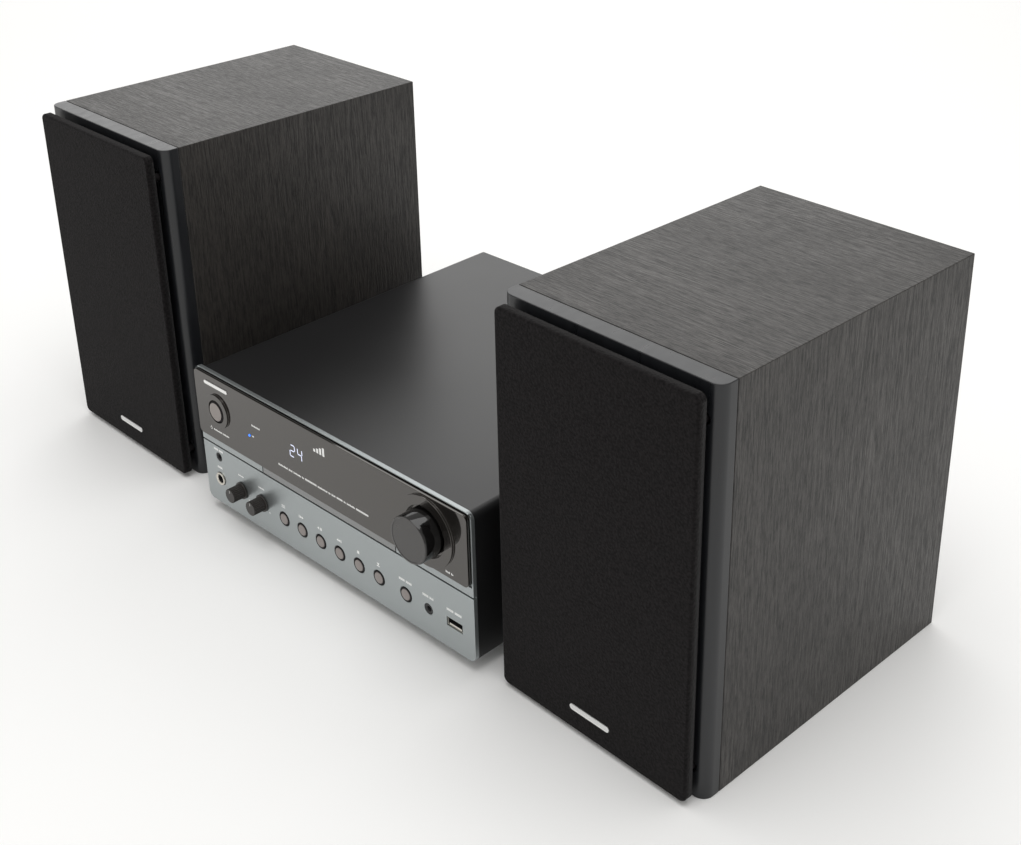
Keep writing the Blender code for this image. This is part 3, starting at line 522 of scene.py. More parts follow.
# ---------------------------------------------------------------- push buttons
# Turned-looking caps in a warm grey metallic plastic, held behind the front by a flange. The small ones sit
# in black rings let into the panel, and the larger power cap in the fascia's ring.

def arc(centre, radius, start, end, steps=6):
    """Points on an arc, with angles in degrees."""
    angles = [math.radians(start + (end - start) * step / steps) for step in range(steps + 1)]
    return [(centre[0] + radius * math.cos(a), centre[1] + radius * math.sin(a)) for a in angles]


def turned(name, outline, centre, sides=64):
    """Turn (radius, distance along Y) points round an axis along Y through the centre."""
    bpy.ops.object.select_all(action="DESELECT")
    bpy.ops.mesh.primitive_plane_add(size=0.001)
    piece = bpy.context.object
    bpy.ops.object.mode_set(mode="EDIT")
    bpy.ops.mesh.select_mode(type="VERT")
    bpy.ops.mesh.select_all(action="SELECT")
    bpy.ops.mesh.merge(type="CENTER")
    bpy.ops.transform.translate(value=(*outline[0], 0))
    for (radius, along), (next_radius, next_along) in zip(outline, outline[1:]):
        step = (next_radius - radius, next_along - along, 0)
        bpy.ops.mesh.extrude_vertices_move(TRANSFORM_OT_translate={"value": step})
    bpy.ops.mesh.select_all(action="SELECT")
    bpy.ops.mesh.spin(steps=sides, angle=math.tau, center=(0, 0, 0), axis=(0, 1, 0))
    bpy.ops.mesh.select_all(action="SELECT")
    bpy.ops.mesh.remove_doubles(threshold=1e-6)
    bpy.ops.mesh.normals_make_consistent(inside=False)
    bpy.ops.object.mode_set(mode="OBJECT")
    piece.location = centre
    settle(name)
    bpy.ops.object.shade_smooth_by_angle(angle=math.radians(32))
    return piece


def copy_of(piece, name, offset):
    """A copy with its own mesh, moved by an offset."""
    take_in_hand(piece)
    bpy.ops.object.duplicate()
    bpy.context.object.location = offset
    return settle(name)


def speckled(name, per_metre, dark, light, rough_range=None, depth=None, detail=2.0, placing=(), **constants):
    """A finish whose colour, and roughness or height where they are given, follow one fine noise."""
    finish = Finish(name, **constants)
    speck = finish.noise(per_metre, detail, **dict(placing))
    finish.surface(base_color=finish.mix(speck, dark, light))
    if rough_range:
        least, most = rough_range
        finish.surface(roughness=speck * (most - least) + least)
    if depth:
        finish.surface(normal=finish.bump(speck, depth))
    return finish


cap_paint = speckled(
    "cap_paint", 3400, (0.25, 0.222, 0.210), (0.33, 0.295, 0.280), (0.36, 0.46), 0.00001, metallic=0.35
)

cap_radius, cap_back = 0.0039, 0.0033
cap_outline = [(0, -0.0008), (0.0020, -0.00075), (0.0030, -0.0006)]
cap_outline += arc((cap_radius - 0.0005, -0.0001), 0.0005, 270, 360)
cap_outline += [(cap_radius, cap_back), (0.0052, cap_back), (0.0052, 0.0043), (0.0018, 0.0043)]
cap_outline += [(0.0018, 0.0076), (0, 0.0076)]
inner, wall, outer = cap_radius + 0.0002, cap_radius + 0.0004, ring_radius - 0.0002
ring_outline = [(inner, 0.0030), (inner, -0.0002), (wall, -0.0004), (ring_radius - 0.0005, -0.0003)]
ring_outline += [(outer, 0), (outer, ring_depth), (wall, ring_depth), (wall, 0.0030), (inner, 0.0030)]
first_x, first_z = middle_of("menu_button")
first_cap = turned("menu_cap", cap_outline, on_front(first_x, 0, first_z))
first_ring = turned("menu_ring", ring_outline, on_front(first_x, 0, first_z))
ring_plastic = speckled(
    "black_ring", 900, (0.006, 0.005, 0.0055), (0.012, 0.010, 0.011), roughness=0.6, specular_ior_level=0.2
)
for name in small_buttons:
    x, z = middle_of(f"{name}_button")
    offset = (x - first_x, 0, z - first_z)
    cap = first_cap if name == "menu" else copy_of(first_cap, f"{name}_cap", offset)
    ring = first_ring if name == "menu" else copy_of(first_ring, f"{name}_ring", offset)
    fit(cap, cap_paint, name, "button", f"{name}_button")
    fit(ring, ring_plastic, "main_unit", "moulding")

power_outline = [(0, -0.00425), (0.0045, -0.0043), (0.0062, -0.0044)]
power_outline += [(0.0065, -0.0043), (0.0076, -0.0034), (0.0080, -0.0029)]
power_outline += [(0.0080, cap_back), (0.0095, cap_back), (0.0095, 0.0043), (0.0025, 0.0043)]
power_outline += [(0.0025, 0.0070), (0, 0.0070)]
power_cap = turned("power_cap", power_outline, on_front(power_x, 0, power_z), 96)
fit(power_cap, cap_paint, "power", "button", "power_button")


def coat(piece, finish, wanted):
    """Give some of a piece's faces a second finish."""
    piece.data.materials.append(finish.material)
    for face in piece.data.polygons:
        if wanted(face):
            face.material_index = len(piece.data.materials) - 1


power_middle = on_front(power_x, 0, power_z)
coat(power_cap, ring_plastic, lambda face: (face.center - power_middle).xz.length > 0.0064)


# ---------------------------------------------------------------- volume and tone knobs
# The volume knob is a gloss black drum with a crisp bevel round its flat face. The bass and treble knobs
# are slim and fluted, with a collar at the back. All push on to the shafts of their controls.

knob_low, knob_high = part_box("volume_knob")
knob_front, knob_back = knob_low.y - bezel_low.y, knob_high.y - bezel_low.y
knob_radius = (knob_high.x - knob_low.x) / 2
knob_outline = [(0, knob_front + 0.0002), (0.0138, knob_front + 0.0002), (0.0141, knob_front)]
knob_outline += [(knob_radius - 0.0007, knob_front), (knob_radius - 0.0004, knob_front + 0.0001)]
knob_outline += [(knob_radius, knob_front + 0.0008), (knob_radius, knob_back - 0.0004)]
knob_outline += [(knob_radius - 0.0004, knob_back), (0.0033, knob_back), (0.0033, knob_front + 0.004)]
knob_outline += [(0, knob_front + 0.004)]
volume_knob = turned("volume_drum", knob_outline, on_front(volume_x, 0, volume_z), 128)
knob_gloss = speckled(
    "knob_gloss", 700, (0.003, 0.0028, 0.0028), (0.006, 0.0055, 0.0055), (0.06, 0.11),
    placing={"centre": on_front(volume_x, 0, volume_z), "stretch": (1, 12, 1)},
    ior=1.5, coat_weight=0.1, coat_roughness=0.04,
)
fit(volume_knob, knob_gloss, "volume", "gloss_knob", "volume_knob")

face_satin = speckled(
    "knob_face", 420, (0.022, 0.0195, 0.0178), (0.030, 0.0266, 0.0244), (0.22, 0.30),
    detail=4.0, placing={"stretch": (9, 1, 1)}, ior=1.52, coat_weight=0.25, coat_roughness=0.12,
)
face_limit = bezel_low.y + knob_front + 0.0003
coat(volume_knob, face_satin, lambda face: face.center.y < face_limit and face.normal.y < -0.9)

flute_count = 24
flute_angle = math.tau / flute_count
tone_radius, tone_length, collar_radius, collar_length = 0.0051, 0.0100, 0.0062, 0.0010
tone_back = -panel_gap
tone_front, collar_front = tone_back - tone_length, tone_back - collar_length
tone_rubber = moulded("tone_knob_soft_touch", (0.026, 0.022, 0.020), 0.42, 1500, 0.00001)
for name in ("bass", "treble"):
    x, z = middle_of(f"{name}_knob")
    axis, front, back = on_front(x, 0, z), on_front(x, tone_front, z), on_front(x, tone_back, z)
    knob = add_rod(f"{name}_fluted_knob", front, back, tone_radius, flute_count * 4)

    def in_a_flute(vert, axis=axis):
        around = math.atan2(vert.co.z - axis.z, vert.co.x - axis.x) % flute_angle
        return 0.35 < around / flute_angle < 0.95

    work(knob, "verts", in_a_flute, bpy.ops.transform.resize, value=(0.93, 1, 0.93), center_override=axis)
    collar = turned("collar", [
        (0.0047, collar_front), (collar_radius - 0.0002, collar_front),
        (collar_radius, collar_front + 0.0002), (collar_radius, tone_back),
        (0.0047, tone_back), (0.0047, collar_front),
    ], axis)
    bore = add_rod("bore", on_front(x, tone_front + 0.004, z), on_front(x, clear, z), 0.0028)
    combine(knob, [collar], "UNION")
    combine(knob, [bore])
    soften(knob, 0.00012, 2, 40)
    fit(knob, tone_rubber, name, "gloss_knob", f"{name}_knob")
    pointer = front_block(
        f"{name}_pointer", x, z + 0.0033, 0.0003, 0.0011, tone_front - 0.00003, tone_front + 0.001
    )
    soften(pointer, 0.00005)
    pointer_ink = moulded(f"{name}_pointer_ink", (0.55, 0.54, 0.52), 0.5)
    fit(pointer, pointer_ink, name, "gloss_knob")


# ---------------------------------------------------------------- sockets on the front
# Jack sockets with round noses through the panel: black for headphones and line in, nickel for the larger
# microphone one. The USB socket is a folded nickel shell round a tongue with four gilt contacts. The shell's
# inside and the tongue's top, sides and back are black as painted shade; the tongue's front face is ivory.

nickel = speckled(
    "bright_nickel", 1200, (0.66, 0.62, 0.55), (0.80, 0.77, 0.70), (0.16, 0.28), detail=3.0, metallic=1.0
)
socket_back = 0.0092
for node, nose, bore, front, finish, slot_name in (
    ("headphone_socket", 0.0030, 0.0018, 0.0002, black_plastic, "moulding"),
    ("line_in_socket", 0.0035, 0.0018, 0.0002, black_plastic, "moulding"),
    ("microphone_socket", 0.0047, 0.0032, -0.0010, nickel, "nickel"),
):
    x, z = middle_of(node)
    outline = [(0, 0.0085), (bore, 0.0085), (bore, front + 0.0006), (bore + 0.0004, front + 0.0001)]
    outline += [(bore + 0.0006, front), (nose - 0.0003, front), (nose, front + 0.0003), (nose, 0.0034)]
    outline += [(nose + 0.0010, 0.0034), (nose + 0.0010, socket_back), (0, socket_back)]
    socket = turned(node.replace("socket", "jack"), outline, on_front(x, 0, z))
    fit(socket, finish, "main_unit", slot_name, node)
    inner, rim = bore - 0.0001, bore - 0.0004
    throat = turned(node.replace("socket", "throat"), [
        (0, 0.0080), (inner, 0.0080), (inner, front + 0.0012),
        (rim, front + 0.0012), (rim, 0.0076), (0, 0.0076),
    ], on_front(x, 0, z))
    fit(throat, black_plastic, "main_unit", "moulding")

usb_low, usb_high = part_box("usb_socket")
shell = add_block("usb_shell", usb_low, usb_high)
round_corners(shell, "Y", 0.0006, 4)
shell_wall = 0.0004
bore = add_block(
    "bore",
    usb_low + Vector((shell_wall, -clear, shell_wall)),
    usb_high - Vector((shell_wall, 0.002, shell_wall)),
)
round_corners(bore, "Y", 0.0003, 3)
combine(shell, [bore])
soften(shell, 0.0001)
fit(shell, nickel, "main_unit", "nickel", "usb_socket")
# Painted shade: the shell's inside, floor and back are given black plastic, which darkens the socket's mouth.
coat(shell, black_plastic, lambda face: face.center.y > usb_low.y + 0.0006)
# Painted shade: the tongue is black on its top, sides and back, and only its front face is ivory.
tongue_front = 0.0008
tongue = front_block("usb_tongue", usb_x + 0.0001, usb_z - 0.0016, 0.0053, 0.0006, tongue_front, 0.0135)
soften(tongue, 0.0001)
fit(tongue, black_plastic, "main_unit", "moulding")
tongue_edge = bezel_low.y + tongue_front + 0.0003
coat(tongue, moulded("ivory_moulding", (0.72, 0.69, 0.62), 0.35), lambda face: face.center.y < tongue_edge)
gilt = speckled("gilt_contacts", 2000, (0.70, 0.50, 0.20), (0.85, 0.66, 0.32), metallic=1.0, roughness=0.25)
usb_contacts = join("usb_contacts", [
    front_block("contact", usb_x + x, usb_z - 0.0010, 0.0005, 0.0002, 0.0040, 0.0110)
    for x in (-0.0035, -0.0012, 0.0012, 0.0035)
])
soften(usb_contacts, 0.00006)
fit(usb_contacts, gilt, "main_unit", "nickel")


# ---------------------------------------------------------------- printed signs, badge and display
# White signs are printed on the panel and the fascia: pictograms and plain dashes. Behind the fascia two
# figures and a blue lamp shine through, and a plain polished badge is set above the power button.

ink_thickness = 0.00004
signs = []


def print_bar(x, z, wide, high, y=0.0):
    """A printed bar, centred at (x, z), on a surface at depth y."""
    signs.append(front_block("bar", x, z, wide / 2, high / 2, y - ink_thickness, y))


def print_triangle(x, z, size, heading, y=0.0):
    """A printed triangle that points to a heading: 0 is right, 90 up."""
    bpy.ops.object.select_all(action="DESELECT")
    bpy.ops.mesh.primitive_cylinder_add(
        vertices=3, radius=size * 0.6, depth=ink_thickness, location=on_front(x, y - ink_thickness / 2, z),
        rotation=(math.pi / 2, math.radians(-heading - 90), 0),
    )
    signs.append(settle("triangle"))


def print_ring(x, z, radius, y=0.0):
    """A printed ring."""
    hollow, front = radius - radius * 0.25, y - ink_thickness
    outline = [(hollow, front), (radius, front), (radius, y), (hollow, y), (hollow, front)]
    signs.append(turned("ring", outline, on_front(x, 0, z), 32))


def print_dashes(x, z, wide, lengths, y=0.0, high=0.0017):
    """A caption with no words: strokes in groups of those lengths, centred at x, filling a width."""
    step = wide / (sum(lengths) * 2 + len(lengths) - 1)
    start = x - wide / 2
    for length in lengths:
        for stroke in range(length * 2):
            tall = high * (1.0, 0.72, 0.86)[(stroke * length) % 3]
            print_bar(start + step * (stroke + 0.5), z - (high - tall) / 2, step * 0.74, tall, y)
        start += step * (length * 2 + 1)


row_signs = middle_of("menu_button")[1] + 0.0099
places = {name: middle_of(f"{name}_button")[0] for name in small_buttons}
for line in (-0.0009, 0, 0.0009):
    print_bar(places["menu"], row_signs + line, 0.0036, 0.0004)
for name, heading in (("previous", 180), ("next", 0)):
    turn_sign = 1 if heading == 0 else -1
    for step in (-0.0010, 0.0008):
        print_triangle(places[name] + turn_sign * step, row_signs, 0.0021, heading)
    print_bar(places[name] + turn_sign * 0.0023, row_signs, 0.0006, 0.0021)
print_triangle(places["play"] - 0.0014, row_signs, 0.0022, 0)
for step in (0.0006, 0.0017):
    print_bar(places["play"] + step, row_signs, 0.0007, 0.0021)
print_bar(places["stop"], row_signs, 0.0021, 0.0021)
print_triangle(places["eject"], row_signs + 0.0005, 0.0024, 90)
print_bar(places["eject"], row_signs - 0.0011, 0.0028, 0.0006)
print_dashes(places["source"], row_signs, 0.0118, (3, 3))

for name in ("bass", "treble"):
    x, z = middle_of(f"{name}_knob")
    print_dashes(x, z + 0.0114, 0.0062, (4,), high=0.0013)
    for side in (-1, 1):
        print_bar(x + side * 0.0072, z - 0.0048, 0.0013, 0.0004)
    print_bar(x + 0.0072, z - 0.0048, 0.0004, 0.0013)
x, z = middle_of("headphone_socket")
print_dashes(x, z + 0.0054, 0.0105, (3, 3))
x, z = middle_of("microphone_socket")
print_dashes(x, z + 0.0090, 0.0056, (3,))
x, z = middle_of("line_in_socket")
print_dashes(x, z + 0.0091, 0.0098, (3, 2))
print_dashes(usb_x, usb_z + 0.0091, 0.0130, (3, 3))

power_sign_x, power_sign_z = power_x - 0.0099, 0.0619
print_ring(power_sign_x, power_sign_z, 0.0011, -plate_front)
print_bar(power_sign_x, power_sign_z + 0.0010, 0.0004, 0.0012, -plate_front)
for x, z, wide, lengths, high in (
    (power_x + 0.0014, power_sign_z, 0.0175, (5, 4), 0.0013),
    (-0.0665, 0.0826, 0.0090, (5,), 0.0013),
    (0.0005, 0.0644, 0.0900, (5, 2, 4, 1, 6, 5, 1, 2, 3, 1, 4, 6), 0.0014),
    (0.1176, 0.0578, 0.0066, (2, 1), 0.0014),
):
    print_dashes(x, z, wide, lengths, -plate_front, high)
print_bar(-0.0705, 0.0741, 0.0020, 0.0009, -plate_front)
for bar in range(4):
    rise = 0.0020 + 0.0013 * bar
    print_bar(-0.0042 + 0.0030 * bar, 0.0898 + rise / 2, 0.0019, rise, -plate_front)

front_signs = join("front_signs", signs)
ink = speckled("white_ink", 3000, (0.90, 0.91, 0.90), (0.97, 0.97, 0.96), roughness=0.55)
fit(front_signs, ink, "main_unit", "gloss_fascia")

# The seven bars of a figure are (x, z, upright), from its middle, in half-widths
segment_places = {
    "top": (0, 2, False), "middle": (0, 0, False), "bottom": (0, -2, False),
    "upper_left": (-1, 1, True), "upper_right": (1, 1, True),
    "lower_left": (-1, -1, True), "lower_right": (1, -1, True),
}
figure_two = ("top", "upper_right", "middle", "lower_left", "bottom")
figure_four = ("upper_left", "upper_right", "middle", "lower_right")
figure_half, figure_middle, bar_width = 0.0022, 0.0806, 0.0007
lit = []
for x, segments in ((-0.0278, figure_two), (-0.0203, figure_four)):
    for segment in segments:
        across, up, upright = segment_places[segment]
        centre_x = x + across * figure_half + up * 0.0003
        centre_z = figure_middle + up * figure_half * 0.95
        long_half = figure_half * 0.80
        wide, high = (bar_width / 2, long_half) if upright else (long_half, bar_width / 2)
        lit.append(front_block(
            "segment", centre_x, centre_z, wide, high, -plate_front - ink_thickness, -plate_front
        ))
figures = join("display_figures", lit)
glow = Finish("display_glow", roughness=0.4, emission_strength=1.0)
dots = glow.noise(1500)
glow.surface(
    base_color=glow.mix(dots, (0.30, 0.32, 0.42), (0.36, 0.38, 0.48)),
    emission_color=glow.mix(dots, (0.52, 0.56, 0.80), (0.86, 0.89, 1.0)),
)
fit(figures, glow, "main_unit", "gloss_fascia")

lamp_outline = [(0, -0.0005), *arc((0, 0), 0.0009, 305, 352, 5), (0.0009, 0.0004), (0, 0.0004)]
status_lamp = turned("status_lamp", lamp_outline, on_front(-0.0741, -plate_front, 0.0737), 32)
blue = Finish("blue_lamp", roughness=0.15, emission_strength=1.6)
core = blue.noise(800)
blue.surface(
    base_color=blue.mix(core, (0.01, 0.04, 0.35), (0.02, 0.08, 0.50)),
    emission_color=blue.mix(core, (0.01, 0.10, 0.85), (0.08, 0.35, 1.0)),
)
fit(status_lamp, blue, "main_unit", "gloss_fascia")


def add_badge(name, centre, half_width, half_height, thickness):
    """A plain polished capsule with rounded ends, facing -Y."""
    low = Vector(centre) - Vector((half_width, 0, half_height))
    high = Vector(centre) + Vector((half_width, thickness, half_height))
    badge = round_corners(add_block(name, low, high), "Y", half_height * 0.98)
    front = low.y + thickness * 0.1
    work(
        badge, "faces", lambda face: face.calc_center_median().y < front, bpy.ops.mesh.inset,
        thickness=half_height * 0.32, depth=-thickness * 0.35,
    )
    return soften(badge, thickness * 0.2)


badge_silver = speckled(
    "badge_silver", 2500, (0.82, 0.82, 0.81), (0.93, 0.93, 0.92), (0.24, 0.32), metallic=0.9
)
unit_badge = add_badge("unit_badge", on_front(-0.1084, -plate_front - 0.0007, 0.0971), 0.0130, 0.0013, 0.0007)
fit(unit_badge, badge_silver, "main_unit", "gloss_fascia")


# ---------------------------------------------------------------- steel cover
# One sheet of 1 mm steel, folded over the top and both sides, in black powder coat with a fine texture.
# It slides over the bezel's skirt and is screwed to the back.

cover_low, cover_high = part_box("top_cover")
cover = add_block("steel_cover", cover_low, cover_high)


def faces_back_front_or_down(face):
    return abs(face.normal.y) > 0.9 or face.normal.z < -0.9


work(cover, "faces", faces_back_front_or_down, bpy.ops.mesh.delete, type="FACE")
cover_middle = (cover_low.z + cover_high.z) / 2
bevel(cover, lambda edge: runs_along("Y")(edge) and edge.verts[0].co.z > cover_middle, 0.005, 10)
use_modifier(cover, "SOLIDIFY", thickness=0.001, offset=-1)
soften(cover, 0.0002, 2, 40)

powder_coat = Finish("black_powder_coat", ior=1.5)
orange_peel = powder_coat.noise(2100, detail=3.0)
patches = powder_coat.noise(14, detail=3.0)
powder_coat.surface(
    base_color=powder_coat.mix(
        orange_peel * 0.6 + patches * 0.4, (0.006, 0.006, 0.0066), (0.012, 0.012, 0.0125)
    ),
    roughness=orange_peel * 0.12 + patches * 0.06 + 0.26,
    normal=powder_coat.bump(orange_peel, 0.000028),
)
fit(cover, powder_coat, "main_unit", "painted_steel", "top_cover")


# ---------------------------------------------------------------- chassis, back and feet
# The floor is zinc-plated steel and the back is painted like the cover. Its connectors are held by
# cross-head screws, and four soft feet are screwed under the floor.

def repaint(finish, *names):
    """Give plain nodes, whose shape is right, a finish."""
    for name in names:
        frame["nodes"][name].data.materials.clear()
        frame["nodes"][name].data.materials.append(finish.material)


zinc = Finish("zinc_plate", metallic=1.0)
spangle = zinc.node("TexVoronoi", {"feature": "F1"}, {"Vector": zinc.place(), "Scale": 170.0})
rolled = zinc.noise(300, detail=3.0, stretch=(1, 10, 1))
zinc.surface(
    base_color=zinc.mix(spangle * 0.7 + rolled * 0.3, (0.42, 0.43, 0.44), (0.60, 0.61, 0.62)),
    roughness=rolled * 0.2 + 0.28,
    normal=zinc.bump(spangle, 0.00001),
)
repaint(zinc, "chassis_tray", "drive_deck")
repaint(powder_coat, "rear_panel")
repaint(black_plastic, "aerial_socket", "mains_inlet")

foot_rubber = moulded("foot_rubber", (0.016, 0.016, 0.016), 0.75, 1800, 0.00004)
for name in ("foot_front_left", "foot_front_right", "foot_rear_left", "foot_rear_right"):
    low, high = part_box(name)
    radius, tall = (high.x - low.x) / 2, high.z - low.z
    outline = [(0, 0.0006), (radius - 0.0034, 0.0006), (radius - 0.0030, 0), (radius - 0.0020, 0)]
    outline += arc((radius - 0.0016, 0.0010), 0.0010, 270, 350) + [(radius, tall - 0.001), (radius, tall)]
    outline += [(0, tall)]
    foot = turned(f"{name}_pad", outline, (0, 0, 0))
    spot = ((low.x + high.x) / 2, (low.y + high.y) / 2, low.z)
    foot.matrix_world = Matrix.Translation(spot) @ Matrix.Rotation(math.pi / 2, 4, "X")
    settle(foot.name)
    fit(foot, foot_rubber, "main_unit", "foot_rubber", name)


def add_screws(name, places, radius, upright):
    """Cross-head screws at places. Upright turns a head that faces -Y to face another way."""
    dome = [(0, -0.0008), *arc((0, radius * 1.8 - 0.0008), radius * 1.8, 278, 300, 5)]
    head = turned("screw", [*dome, (radius, 0), (radius, 0.0002), (0, 0.0002)], (0, 0, 0), 32)
    arms = [
        add_block("arm", (-wide, -0.002, -high), (wide, -0.0002, high))
        for wide, high in ((radius * 0.5, radius * 0.11), (radius * 0.11, radius * 0.5))
    ]
    combine(head, arms)
    screws = []
    for place in places:
        screws.append(copy_of(head, "screw", (0, 0, 0)))
        screws[-1].matrix_world = Matrix.Translation(place) @ upright
        settle("screw")
    bpy.data.objects.remove(head)
    return join(name, screws)


black_zinc = speckled(
    "black_zinc", 2600, (0.05, 0.05, 0.055), (0.10, 0.10, 0.105), (0.3, 0.45), metallic=0.9
)
facing_back = Matrix.Rotation(math.pi, 4, "Z")
panel_low, panel_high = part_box("rear_panel")
inset, beside_gap = 0.007, 0.009
rear_places = [
    Vector((x, panel_high.y, z))
    for x in (panel_low.x + inset, panel_high.x - inset)
    for z in (panel_low.z + inset, panel_high.z - inset)
]
for node in ("line_out_socket", "aerial_socket"):
    low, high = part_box(node)
    for side in (-1, 1):
        x = (low.x + high.x) / 2 + side * (high.x - low.x + beside_gap) / 2
        rear_places.append(Vector((x, panel_high.y, (low.z + high.z) / 2)))
rear_screws = add_screws("rear_screws", rear_places, 0.0028, facing_back)
fit(rear_screws, black_zinc, "main_unit", "painted_steel")

red_plastic = moulded("red_moulding", (0.45, 0.015, 0.012), 0.38)
white_plastic = moulded("white_moulding", (0.62, 0.61, 0.58), 0.4)
block_low, block_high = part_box("speaker_terminals")
block_middle, block_face = (block_low.z + block_high.z) / 2, block_high.y - 0.0013
terminal_block = add_block("terminal_block", block_low, (block_high.x, block_face, block_high.z))
lever_pitch = 0.012
lever_places = [block_low.x + 0.002 + lever_pitch * (position + 0.5) for position in range(4)]
wire_z = block_middle + 0.0045
combine(terminal_block, [
    add_rod("hole", (x, block_face - 0.004, wire_z), (x, block_face + clear, wire_z), 0.0022)
    for x in lever_places
])
soften(terminal_block, 0.0003)
fit(terminal_block, black_plastic, "main_unit", "moulding", "speaker_terminals")
for position, x in enumerate(lever_places):
    lever = add_block(
        f"terminal_lever_{position + 1}",
        (x - 0.0042, block_face - 0.0012, block_middle - 0.0112),
        (x + 0.0042, block_high.y, block_middle - 0.0036),
    )
    bevel(lever, lambda edge: runs_along("X")(edge) and edge.verts[0].co.y > block_face, 0.0010, 4)
    soften(lever, 0.0002)
    fit(lever, red_plastic if position % 2 == 0 else black_plastic, "main_unit", "moulding")
line_low, line_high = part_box("line_out_socket")
line_face = line_high.y - 0.0009
line_middles = [
    Vector(((line_low.x + line_high.x) / 2, line_face, (line_low.z + line_high.z) / 2 + height))
    for height in (0.006, -0.006)
]
line_block = add_block("line_out_block", line_low, (line_high.x, line_face, line_high.z))
back_step = Vector((0, clear, 0))
combine(line_block, [
    add_rod("bore", centre - back_step, centre + back_step, 0.0024) for centre in line_middles
])
soften(line_block, 0.0003)
fit(line_block, black_plastic, "main_unit", "moulding", "line_out_socket")
washer_outline = [(0.0030, -0.0008), (0.0046, -0.0008), (0.0050, -0.0004), (0.0050, 0.0002), (0.0030, 0.0002)]
for centre, finish, word in zip(line_middles, (white_plastic, red_plastic), ("left", "right")):
    name = f"line_out_{word}"
    washer = turned(name, [*washer_outline, washer_outline[0]], (0, 0, 0))
    washer.matrix_world = Matrix.Translation(centre) @ facing_back
    settle(name)
    fit(washer, finish, "main_unit", "moulding")
inlet_low, inlet_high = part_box("mains_inlet")
pins = []
for side in (-1, 1):
    x, z = (inlet_low.x + inlet_high.x) / 2 + side * 0.0043, (inlet_low.z + inlet_high.z) / 2
    root, tip = inlet_high.y - 0.0125, inlet_high.y - 0.003
    pins.append(add_rod("pin", (x, root, z), (x, tip, z), 0.0012, 24))
inlet_pins = soften(join("inlet_pins", pins), 0.0003, 3)
fit(inlet_pins, nickel, "main_unit", "nickel")


# ---------------------------------------------------------------- inside the main unit
# Green boards with tinned parts, the transformer's wound core, the heat sink's extruded fins and the drive.
# They are seen only through the drawer's slot and the vents.

board_green = Finish("board_green", coat_weight=0.4, coat_roughness=0.2)
tracks = board_green.node(
    "TexVoronoi", {"feature": "DISTANCE_TO_EDGE"}, {"Vector": board_green.place(), "Scale": 420.0}
)
bare = board_green.between(tracks, 0.04, 0.10)
board_green.surface(
    base_color=board_green.mix(bare, (0.03, 0.22, 0.10), (0.010, 0.095, 0.040)),
    roughness=board_green.noise(300) * 0.2 + 0.3,
)
repaint(board_green, "main_board", "control_board", "display_module")
laminated = speckled(
    "laminated_core", 1500, (0.20, 0.19, 0.18), (0.42, 0.40, 0.38), (0.3, 0.5), 0.00005,
    detail=1.0, placing={"stretch": (30, 30, 1)}, metallic=0.8,
)
repaint(laminated, "transformer")
extruded = speckled(
    "extruded_aluminium", 900, (0.55, 0.55, 0.56), (0.70, 0.70, 0.71), (0.25, 0.45), 0.00002,
    placing={"stretch": (1, 40, 1)}, metallic=1.0,
)
repaint(extruded, "heat_sink")
repaint(black_plastic, "drive_frame", "laser_sled", "disc_spindle")
repaint(black_plastic, "volume_encoder", "bass_potentiometer", "treble_potentiometer")


# ---------------------------------------------------------------- loudspeakers
# Each is a box of particle board in a black ash wrap, with a smooth satin baffle on the front. The woofer,
# the tweeter and the terminal cup are screwed in, and a cloth grille pegs into the baffle.

def black_ash(name, centre, yaw, grain):
    """Printed and embossed ash in black: long dark pores over wandering growth rings. Grain is X or Z."""
    wrap = Finish(name, ior=1.48)
    along = 14.0
    stretch = (along, 1, 1) if grain == "X" else (1, 1, along)
    placing = {"centre": centre, "turn": yaw}
    rings = wrap.node("TexWave", {"bands_direction": "Y"}, {
        "Vector": wrap.place(**placing, stretch=stretch), "Scale": 84.0, "Distortion": 24.0,
        "Detail": 3.0, "Detail Scale": 0.80, "Detail Roughness": 0.6,
    }, output=1)
    pore_stretch = [1 + (side - 1) * 0.55 for side in stretch]
    pores = wrap.noise(900, detail=3.0, **placing, stretch=pore_stretch)
    dark_pores = wrap.between(pores, 0.37, 0.61)
    fine_stretch = [1 + (side - 1) * 0.2 for side in stretch]
    fleck = wrap.between(wrap.noise(1500, detail=2.0, **placing, stretch=fine_stretch), 0.35, 0.65)
    broad = wrap.between(wrap.noise(20, detail=2.0, **placing), 0.3, 0.7)
    tone = rings * (broad * 0.30 + 0.08) + dark_pores * 0.40 + fleck * 0.20
    return wrap.surface(
        base_color=wrap.mix(tone, (0.0040, 0.0035, 0.0031), (0.050, 0.0444, 0.0400)),
        roughness=(1 - tone) * 0.24 + 0.33,
        normal=wrap.bump(tone, 0.00015),
    )


baffle_film = Finish("baffle_film", ior=1.5)
film_grain = baffle_film.noise(1700, detail=2.0)
film_cloud = baffle_film.noise(260, detail=2.0, stretch=(1, 3, 14))
baffle_film.surface(
    base_color=baffle_film.mix(
        film_grain * 0.3 + film_cloud * 0.7, (0.006, 0.0066, 0.0080), (0.017, 0.0180, 0.0205)
    ),
    roughness=film_cloud * 0.20 + 0.21,
    normal=baffle_film.bump(film_grain, 0.000015),
)
raw_board = moulded("raw_board", (0.030, 0.028, 0.026), 0.8, 900, 0.00008)
rubber = moulded("surround_rubber", (0.014, 0.014, 0.014), 0.5, 1500, 0.00001)
paper = speckled(
    "paper_cone", 500, (0.018, 0.018, 0.019), (0.050, 0.050, 0.052), depth=0.00012, detail=5.0, roughness=0.85
)
basket_steel = speckled(
    "basket_paint", 1400, (0.016, 0.016, 0.017), (0.032, 0.032, 0.034), roughness=0.45, metallic=0.3
)


